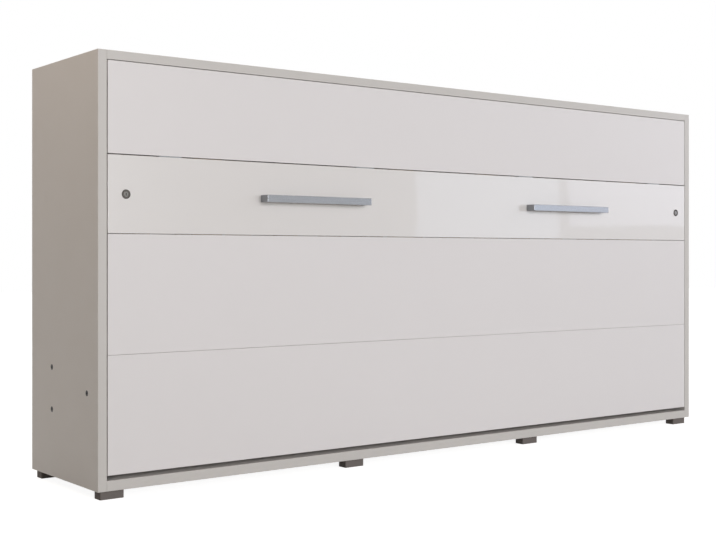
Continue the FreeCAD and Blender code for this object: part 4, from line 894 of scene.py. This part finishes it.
@dataclass
class Mattress:
    """Quilted foam mattress: a soft top sewn in diamonds, a plain border and two taped edges.

    Attributes:
        node: the CAD solid that it stands for.
        step: distance between the mesh's lines.
        diamond: steps from one quilting line to the next.
        edge_steps: the closer lines near the outline.
        corner: radius of the plan's corners.
        top_round: radius of the upper edge.
        base_round: radius of the lower edge.
        margin: room left to the solid all round, which the puffs and the tapes take up.
        crown: rise of the middle over the long edges.
        sink: depth of the quilting lines.
        puff: rise of a puff before the cloth is blown up.
        puff_start: distance from the outline where the puffs start.
        puff_rise: distance over which they reach their height.
        border_rows: rows of the plain border.
        border_seams: rows that are sewn.
        strap_half: half width of a strap.
        strap_reach: half width of the place that a strap presses.
        strap_press: depth of that place.
        cap: farthest that the cloth may move.
        tape_radius: radius of the edge tapes.
        tape_sides: sides of their section.
        tape_flatness: how thick the tapes are, as a share of their width.
        tape_lift: height of the lower tape over the base.
        cloth: the cloth solver's settings.
        cloth_frames: frames that it runs for.
    """

    node: str = "mattress"
    step: float = 12.5 * MM
    diamond: int = 12
    edge_steps: tuple[float, ...] = (8 * MM, 14 * MM, 18 * MM, 21 * MM)
    corner: float = 38 * MM
    top_round: float = 16 * MM
    base_round: float = 10 * MM
    margin: float = 4 * MM
    crown: float = 7 * MM
    sink: float = 4.5 * MM
    puff: float = 3.0 * MM
    puff_start: float = 4 * MM
    puff_rise: float = 20 * MM
    border_rows: int = 12
    border_seams: tuple[int, ...] = (4, 8)
    strap_half: float = 20 * MM
    strap_reach: float = 25 * MM
    strap_press: float = 0.9 * MM
    cap: float = 8 * MM
    tape_radius: float = 3.8 * MM
    tape_sides: int = 10
    tape_flatness: float = 0.75
    tape_lift: float = 2 * MM
    cloth: dict[str, float] = field(default_factory=lambda: {
        "quality": 6, "mass": 0.25, "tension_stiffness": 12, "compression_stiffness": 12,
        "shear_stiffness": 6, "bending_stiffness": 0.4, "shrink_min": -0.035, "use_pressure": True,
        "uniform_pressure_force": 4.0})
    cloth_frames: int = 20

    def __post_init__(self) -> None:
        """Read the size from the CAD solid that this piece stands for."""
        self.low, self.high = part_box(self.node)
        self.middle_x = (self.low.x + self.high.x) / 2
        self.middle_z = (self.low.z + self.high.z) / 2
        self.half_x = (self.high.x - self.low.x) / 2 - self.margin
        self.half_z = (self.high.z - self.low.z) / 2 - self.margin
        self.strap_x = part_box("mattress_straps")[1].x - self.strap_half
        self.ticking = KnitTicking("quilted_knit_ticking", diamond=self.diamond * self.step,
                                   origin=(self.middle_x, self.middle_z),
                                   border=self.high.y - self.crown - self.sink - self.top_round)
        # the tape's darker colour between its loops is painted shade
        self.tape_cloth = KnitTicking("edge_tape", colour="#D2CFC9", hollow_shade="#A09D97", loop=2.4 * MM)

    def lines(self, half: float) -> list[tuple[float, int | None]]:
        """Place the mesh's lines across one half size: even in the middle, closer at the edges.

        Args:
            half: half of the mattress's size that way.

        Returns:
            Place of each line, with its whole number of steps, or None near the edge.
        """
        inner = half - self.edge_steps[-1]
        count = round(inner / self.step)
        outer = [inner + extra for extra in self.edge_steps]
        return ([(-x, None) for x in reversed(outer)]
                + [(i * inner / count, i) for i in range(-count, count + 1)] + [(x, None) for x in outer])

    def plan(self, u: float, v: float) -> tuple[float, float, float]:
        """Round the plan's corners.

        Args:
            u: place along X from the middle.
            v: place along Z from the middle.

        Returns:
            The rounded place along X and Z, and its distance from the outline.
        """
        du = abs(u) - (self.half_x - self.corner)
        dv = abs(v) - (self.half_z - self.corner)
        if du <= 0 or dv <= 0:
            return u, v, min(self.half_x - abs(u), self.half_z - abs(v))
        reach = max(du, dv)
        shrink = reach / math.hypot(du, dv)
        x = math.copysign(self.half_x - self.corner + du * shrink, u)
        z = math.copysign(self.half_z - self.corner + dv * shrink, v)
        return x, z, self.corner - reach

    def under_strap(self, x: float) -> bool:
        """Whether a place along X is pressed by a strap."""
        return abs(abs(x) - self.strap_x) < self.strap_reach

    def top_height(self, x: float, z: float, edge: float) -> float:
        """Height of the cloth's upper side: crowned, rounded at the edge, pressed flat under the straps.

        Args:
            x: place along X from the middle.
            z: place along Z from the middle.
            edge: distance from the outline.

        Returns:
            Place along Y.
        """
        height = self.high.y - self.crown * (z / self.half_z) ** 2 - self.top_round
        reach = min(self.top_round, max(0.0, self.top_round - edge))
        height += math.sqrt(self.top_round ** 2 - reach ** 2)
        if self.under_strap(x):
            return height - self.strap_press
        pitch = self.diamond * self.step
        wave = abs(math.sin(math.pi * (x + z) / pitch) * math.sin(math.pi * (x - z) / pitch))
        rise = min(1.0, max(0.0, edge - self.puff_start) / self.puff_rise)
        return height - self.sink + self.puff * math.sqrt(wave) * rise

    def base_height(self, edge: float) -> float:
        """Height of the underside, rounded at the edge, at a distance from the outline."""
        reach = min(self.base_round, max(0.0, self.base_round - edge))
        return self.low.y + self.base_round - math.sqrt(self.base_round ** 2 - reach ** 2)

    def stitched(self, i: int | None, j: int | None) -> bool:
        """Whether two of the mesh's lines cross on a quilting line."""
        return i is not None and j is not None and 0 in ((i + j) % self.diamond, (i - j) % self.diamond)

    def shape(self) -> tuple[list[Point], list[tuple[int, ...]], set[int]]:
        """Lay out the whole mattress, and keep its two edges for the tapes.

        Returns:
            Its points, its faces and the points that the seams, the straps and the slats hold.
        """
        columns = self.lines(self.half_x)
        rows = self.lines(self.half_z)
        wide, tall = len(columns), len(rows)
        points: list[Point] = []
        held: set[int] = set()
        for top in (True, False):
            for v, j in rows:
                for u, i in columns:
                    x, z, edge = self.plan(u, v)
                    if not top or self.stitched(i, j) or edge < MM or self.under_strap(x):
                        held.add(len(points))
                    y = self.top_height(x, z, edge) if top else self.base_height(edge)
                    points.append((self.middle_x + x, y, self.middle_z + z))
        faces: list[tuple[int, ...]] = []
        for layer in (0, wide * tall):
            for j in range(tall - 1):
                for i in range(wide - 1):
                    a = layer + j * wide + i
                    faces.append((a, a + 1, a + 1 + wide, a + wide))
        ring = [*range(wide), *(j * wide + wide - 1 for j in range(1, tall)),
                *((tall - 1) * wide + i for i in range(wide - 2, -1, -1)),
                *(j * wide for j in range(tall - 2, 0, -1))]
        loops = [ring]
        for row in range(1, self.border_rows):
            loop = []
            for index in ring:
                upper, lower = points[index], points[index + wide * tall]
                loop.append(len(points))
                points.append(tuple(a + (b - a) * (row / self.border_rows) for a, b in zip(upper, lower)))
                if row in self.border_seams or self.under_strap(upper[0] - self.middle_x):
                    held.add(loop[-1])
            loops.append(loop)
        loops.append([index + wide * tall for index in ring])
        for upper, lower in zip(loops, loops[1:]):
            for k in range(len(ring)):
                n = (k + 1) % len(ring)
                faces.append((upper[k], upper[n], lower[n], lower[k]))
        self.edges = [[points[index] for index in loop] for loop in (loops[0], loops[-1])]
        return points, faces, held

    def inflate(self, piece: bpy.types.Object, held: set[int]) -> None:
        """Blow the cloth up between its seams with the cloth solver, and keep the result as the mesh.

        Args:
            piece: the mattress.
            held: points that don't move.
        """
        group = piece.vertex_groups.new(name="sewn")
        group.add(sorted(held), 1.0, "ADD")
        padding = piece.modifiers.new("padding", "CLOTH")
        for name, value in self.cloth.items():
            setattr(padding.settings, name, value)
        padding.settings.vertex_group_mass = group.name
        padding.settings.effector_weights.gravity = 0.0
        padding.collision_settings.use_collision = False
        padding.point_cache.frame_start = 1
        padding.point_cache.frame_end = self.cloth_frames
        scene = bpy.context.scene
        for step in range(1, self.cloth_frames + 1):
            scene.frame_set(step)
        made = bpy.data.meshes.new_from_object(
            piece.evaluated_get(bpy.context.evaluated_depsgraph_get()))
        scene.frame_set(1)
        piece.modifiers.remove(padding)
        for vertex, blown in zip(piece.data.vertices, made.vertices):
            move = blown.co - vertex.co
            if move.length > self.cap:
                vertex.co += move.normalized() * self.cap
            else:
                vertex.co = blown.co
        bpy.data.meshes.remove(made)
        piece.vertex_groups.clear()

    def tape(self, name: str, outline: Sequence[Point]) -> None:
        """Sew a rounded tape over one edge of the mattress.

        Args:
            name: the piece's name.
            outline: the edge's points, in order round it.
        """
        sides = self.tape_sides
        count = len(outline)
        up = Vector((0.0, 1.0, 0.0))
        points: list[Point] = []
        for k, spot in enumerate(outline):
            ahead = (Vector(outline[(k + 1) % count]) - Vector(outline[k - 1])).normalized()
            out = ahead.cross(up).normalized()
            for s in range(sides):
                angle = 2 * math.pi * s / sides
                corner = Vector(spot) + out * (math.cos(angle) * self.tape_radius * self.tape_flatness)
                points.append(tuple(corner + up * (math.sin(angle) * self.tape_radius)))
        faces = [(k * sides + s, k * sides + (s + 1) % sides,
                  (k + 1) % count * sides + (s + 1) % sides, (k + 1) % count * sides + s)
                 for k in range(count) for s in range(sides)]
        carried(mesh_of(name, points, faces), self.tape_cloth, "bed")

    def build(self) -> None:
        """Make the mattress and its two edge tapes."""
        points, faces, held = self.shape()
        piece = carried(mesh_of("quilted_mattress", points, faces), self.ticking, "bed")
        self.inflate(piece, held)
        smooth = piece.modifiers.new("smooth", "SUBSURF")
        smooth.levels = smooth.render_levels = 1
        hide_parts(self.node)
        upper, lower = self.edges
        self.tape("mattress_tape_upper", upper)
        self.tape("mattress_tape_lower", [(x, y + self.tape_lift, z) for x, y, z in lower])


@dataclass
class Straps:
    """Two webbing straps over the mattress, each with a side-release buckle.

    Attributes:
        node: the CAD solids that they stand for.
        width: of a strap.
        thickness: of a strap.
        corner: radius of the bend over the mattress's edge.
        draw: how far the sides are drawn in.
        crown: rise of the mattress's middle over its long edges.
        side_steps: steps of the path up a side.
        bend_steps: steps of the bend.
        top_steps: steps from the bend to the middle.
        section: corners across a strap, as shares of half its width and of its thickness.
        buckle_z: place of the buckles along Z from the middle.
        buckle_height: height of a buckle.
        buckle_step: how much lower its tongue and its prongs are.
        buckle_seat: height of its base over the strap's middle, as a share of the thickness.
        buckle_round: radius of its edges.
        socket: outline of the buckle's outer part, in millimetres from its middle.
        tongue: outline of the inner part.
        prong: outline of the left prong, which the right one mirrors.
    """

    node: str = "mattress_straps"
    width: float = 2 * Mattress.strap_half
    thickness: float = 1.3 * MM
    corner: float = 15 * MM
    draw: float = 1 * MM
    crown: float = Mattress.crown
    side_steps: int = 8
    bend_steps: int = 6
    top_steps: int = 24
    section: tuple[tuple[float, float], ...] = (
        (-1.0, 0.0), (-0.97, 0.5), (-0.86, 0.6), (-0.8, 0.48), (0.8, 0.48), (0.86, 0.6), (0.97, 0.5),
        (1.0, 0.0), (0.97, -0.5), (-0.97, -0.5))
    buckle_z: float = 170 * MM
    buckle_height: float = 9 * MM
    buckle_step: float = 1.5 * MM
    buckle_seat: float = 0.7
    buckle_round: float = 1.2 * MM
    socket: tuple[tuple[float, float], ...] = (
        (-25, 0), (-25, 9), (-21, 13), (-21, 26), (-25, 30), (-25, 40), (25, 40), (25, 30), (21, 26),
        (21, 13), (25, 9), (25, 0))
    tongue: tuple[tuple[float, float], ...] = (
        (-24, -3), (-25, -14), (-22, -30), (22, -30), (25, -14), (24, -3), (12, -1), (-12, -1))
    prong: tuple[tuple[float, float], ...] = (
        (-24.5, -4), (-24.5, 5), (-26, 16), (-24, 25), (-21.5, 25), (-21.5, -4))

    def __post_init__(self) -> None:
        """Read the straps' place from the CAD solids."""
        self.low, self.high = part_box(self.node)
        self.strap_x = self.high.x - self.width / 2
        self.middle_z = (self.low.z + self.high.z) / 2

    def top_y(self, z: float) -> float:
        """Height of a strap's middle over the mattress at a place along Z."""
        half = (self.high.z - self.low.z) / 2
        return self.high.y - self.thickness / 2 - self.crown * ((z - self.middle_z) / half) ** 2

    def half_path(self) -> list[tuple[float, float]]:
        """Lay a strap's middle line over half of the mattress.

        Returns:
            Y and Z of its points, from the near end to the middle of the mattress.
        """
        side = self.low.z + self.thickness / 2
        edge_z = side + self.corner
        bend_y = self.top_y(edge_z) - self.corner
        middle_y = (self.low.y + bend_y) / 2
        reach = (bend_y - self.low.y) / 2
        path = []
        for k in range(self.side_steps + 1):
            y = self.low.y + (bend_y - self.low.y) * k / self.side_steps
            path.append((y, side + self.draw * (1 - ((y - middle_y) / reach) ** 2)))
        for k in range(1, self.bend_steps + 1):
            angle = math.pi / 2 * k / self.bend_steps
            path.append((bend_y + self.corner * math.sin(angle), edge_z - self.corner * math.cos(angle)))
        for k in range(1, self.top_steps + 1):
            z = edge_z + (self.middle_z - edge_z) * k / self.top_steps
            path.append((self.top_y(z), z))
        return path

    def ribbon(self, x: float, points: list[Point], faces: list[tuple[int, ...]]) -> None:
        """Add one strap to the mesh.

        Args:
            x: the strap's middle along X.
            points: corners so far.
            faces: faces so far.
        """
        near = self.half_path()
        path = near + [(y, 2 * self.middle_z - z) for y, z in reversed(near[:-1])]
        start = len(points)
        sides = len(self.section)
        for k, (y, z) in enumerate(path):
            y0, z0 = path[max(k - 1, 0)]
            y1, z1 = path[min(k + 1, len(path) - 1)]
            ahead = Vector((0.0, y1 - y0, z1 - z0)).normalized()
            for across, rise in self.section:
                points.append((x + across * self.width / 2, y + ahead.z * rise * self.thickness,
                               z - ahead.y * rise * self.thickness))
        for k in range(len(path) - 1):
            for s in range(sides):
                a = start + k * sides
                n = (s + 1) % sides
                faces.append((a + s, a + n, a + sides + n, a + sides + s))
        for first in (start, start + (len(path) - 1) * sides):
            faces.append(tuple(range(first, first + sides)))

    def buckles(self) -> None:
        """Mould both side-release buckles as one piece."""
        shell = bmesh.new()
        step = self.buckle_step
        z = self.middle_z + self.buckle_z
        base = self.top_y(z) + self.thickness * self.buckle_seat
        high = base + self.buckle_height
        plates = ((self.socket, base, high), (self.tongue, base, high - step),
                  (self.prong, base + step, high - step),
                  ([(-u, v) for u, v in reversed(self.prong)], base + step, high - step))
        for x in (-self.strap_x, self.strap_x):
            for outline, low_y, high_y in plates:
                floor = [shell.verts.new((x + u * MM, low_y, z + v * MM)) for u, v in outline]
                made = bmesh.ops.extrude_face_region(shell, geom=[shell.faces.new(floor)])
                moved = [item for item in made["geom"] if isinstance(item, bmesh.types.BMVert)]
                bmesh.ops.translate(shell, vec=(0.0, high_y - low_y, 0.0), verts=moved)
        mesh = bpy.data.meshes.new("strap_buckles")
        shell.to_mesh(mesh)
        shell.free()
        piece = carried(mesh, MouldedPlastic("black_moulded_buckle", colour="#222224"), "bed")
        bevel = piece.modifiers.new("rounded", "BEVEL")
        bevel.width = self.buckle_round
        bevel.segments = 3
        bevel.limit_method = "ANGLE"
        bevel.harden_normals = True

    def build(self) -> None:
        """Make both straps and their buckles."""
        points: list[Point] = []
        faces: list[tuple[int, ...]] = []
        for x in (-self.strap_x, self.strap_x):
            self.ribbon(x, points, faces)
        piece = carried(mesh_of("woven_straps", points, faces), Webbing("woven_webbing"), "bed")
        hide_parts(self.node)
        self.buckles()


# ---------------------------------------------------------------- studio
@dataclass(frozen=True)
class Softbox:
    """A soft light that looks at the cabinet's middle.

    Attributes:
        name: the light's name.
        azimuth: degrees to the right of the front.
        elevation: degrees above level.
        distance: from the cabinet's middle.
        width: of the box.
        height: of the box.
        level: how bright it alone makes a white card that faces it; 1 is white.
        colour: of its cloth.
        mirrored: whether glossy faces show it.
    """

    name: str
    azimuth: float
    elevation: float
    distance: float
    width: float
    height: float
    level: float
    colour: str = "#FFFFFF"
    mirrored: bool = True

    def hang(self, target: Vector) -> None:
        """Put the light in the scene.

        Args:
            target: the point that it looks at.
        """
        lamp = bpy.data.lights.new(self.name, "AREA")
        lamp.shape = "RECTANGLE"
        lamp.size = self.width
        lamp.size_y = self.height
        lamp.energy = self.level * math.pi ** 2 * self.distance ** 2
        lamp.color = linear(self.colour)[:3]
        light = bpy.data.objects.new(self.name, lamp)
        light.visible_glossy = self.mirrored
        bpy.context.scene.collection.objects.link(light)
        turn = math.radians(self.azimuth)
        lift = math.radians(self.elevation)
        way = Vector((math.sin(turn) * math.cos(lift), -math.cos(turn) * math.cos(lift), math.sin(lift)))
        light.location = target + way * self.distance
        light.rotation_mode = "QUATERNION"
        light.rotation_quaternion = (-way).to_track_quat("-Z", "Y")


@dataclass
class Studio:
    """Pale floor, soft lights, white surroundings and the camera.

    Attributes:
        floor_size: length of the floor's sides.
        floor_colour: colour that the lights find on it.
        floor_glow: how white the eye sees it near the cabinet; 1 is white.
        fade_start: distance from the middle where it turns whiter.
        fade_end: distance where it is all white.
        ambient: how bright the surroundings light things.
        ambient_colour: colour of that light.
        lens: focal length that fits the photograph's perspective.
        shift_y: the photograph's shift of the horizon.
        camera_place: the camera's place.
        camera_turn: degrees that it turns to the right.
        lights: every soft light.
    """

    floor_size: float = 30.0
    floor_colour: str = "#ACABA9"
    floor_glow: float = 0.90
    fade_start: float = 2.2
    fade_end: float = 5.0
    ambient: float = 0.19
    ambient_colour: str = "#FFF6EC"
    lens: float = 60.357
    shift_y: float = -0.01967
    camera_place: Point = (-2.2418, -2.7061, 0.5586)
    camera_turn: float = 37.176
    lights: tuple[Softbox, ...] = (
        Softbox("key_softbox", azimuth=0, elevation=10, distance=7.0, width=3.0, height=2.6, level=0.525,
                colour="#FBFCFF"),
        Softbox("left_softbox", azimuth=-84, elevation=35, distance=2.6, width=1.2, height=1.0,
                level=0.13, colour="#FFEBD8"),
        Softbox("right_softbox", azimuth=72, elevation=15, distance=4.5, width=1.6, height=1.6,
                level=0.115, colour="#F1F3FF"),
        Softbox("near_window", azimuth=43.2, elevation=7.5, distance=8.0, width=1.32, height=2.05,
                level=0.0185, colour="#DCEBFF"),
        Softbox("far_window", azimuth=54.2, elevation=8.5, distance=8.1, width=1.60, height=1.78,
                level=0.0185, colour="#E6EAFF"),
        Softbox("top_softbox", azimuth=180, elevation=86, distance=4.0, width=3.0, height=2.0, level=0.38),
        Softbox("rear_softbox", azimuth=160, elevation=25, distance=5.0, width=2.6, height=2.0,
                level=0.40, mirrored=False),
    )

    def seen_directly(self, nodes: Nodes) -> bpy.types.Node:
        """Tell rays that look at a surface from light that falls on things.

        Args:
            nodes: the node tree that asks.

        Returns:
            The node that gives one for rays from the camera, a mirror or glass, and else zero.
        """
        path = nodes.add("LightPath")
        both = nodes.add("Math", {"operation": "MAXIMUM"},
                         {0: path.outputs["Is Camera Ray"], 1: path.outputs["Is Glossy Ray"]})
        return nodes.add("Math", {"operation": "MAXIMUM"},
                         {0: both, 1: path.outputs["Is Transmission Ray"]})

    def surroundings(self) -> None:
        """White to look at, softer as a light."""
        world = bpy.data.worlds.new("white_studio")
        bpy.context.scene.world = world
        nodes = Nodes(world)
        lit = nodes.add("Background", {"Color": linear(self.ambient_colour), "Strength": self.ambient})
        white = nodes.add("Background", {"Color": WHITE})
        mixed = nodes.add("MixShader", links={0: self.seen_directly(nodes), 1: lit, 2: white})
        nodes.add("OutputWorld", links={"Surface": mixed})

    def floor(self) -> None:
        """A pale seamless floor that keeps the cabinet's shadow."""
        half = self.floor_size / 2
        mesh = mesh_of("studio_floor", [(-half, -half, 0), (half, -half, 0), (half, half, 0),
                                        (-half, half, 0)], [(0, 1, 2, 3)])
        floor = bpy.data.objects.new("studio_floor", mesh)
        bpy.context.scene.collection.objects.link(floor)
        material = bpy.data.materials.new("white_paper_floor")
        nodes = Nodes(material)
        nodes.surface()
        nodes.fix({"Base Color": linear(self.floor_colour), "Roughness": 0.9, "Specular IOR Level": 0.1,
                   "Emission Color": WHITE})
        away = nodes.add("VectorMath", {"operation": "LENGTH"}, {0: nodes.place})
        whiter = nodes.add("MapRange", {"From Min": self.fade_start, "From Max": self.fade_end,
                                        "To Min": self.floor_glow, "To Max": 1.0}, {"Value": away})
        nodes.feed("Emission Strength", nodes.add("Math", {"operation": "MULTIPLY"},
                                                  {0: self.seen_directly(nodes), 1: whiter}))
        mesh.materials.append(material)

    def camera(self) -> None:
        """The photograph's view: level, from the front left."""
        data = bpy.data.cameras.new("product_camera")
        data.sensor_width = 36.0
        data.lens = self.lens
        data.shift_y = self.shift_y
        camera = bpy.data.objects.new("product_camera", data)
        bpy.context.scene.collection.objects.link(camera)
        camera.location = self.camera_place
        camera.rotation_euler = (math.pi / 2, 0.0, -math.radians(self.camera_turn))
        bpy.context.scene.camera = camera

    def build(self) -> None:
        """Set up the whole studio."""
        bpy.context.scene.view_settings.view_transform = "Standard"
        self.surroundings()
        self.floor()
        target = Vector((0.0, 0.0, (CAD_BOX[0].z + CAD_BOX[1].z) / 2))
        for softbox in self.lights:
            softbox.hang(target)
        self.camera()


def main() -> None:
    """Build every sub-assembly and the studio."""
    logging.basicConfig(level=logging.INFO, format="%(name)s: %(message)s")
    for assembly in (Studio(), Carcass(), GasStruts(), FoldingBed(), GlossLeg(), Mattress(), Straps()):
        LOG.info("building %s", type(assembly).__name__)
        assembly.build()


if __name__ == "__main__":
    main()
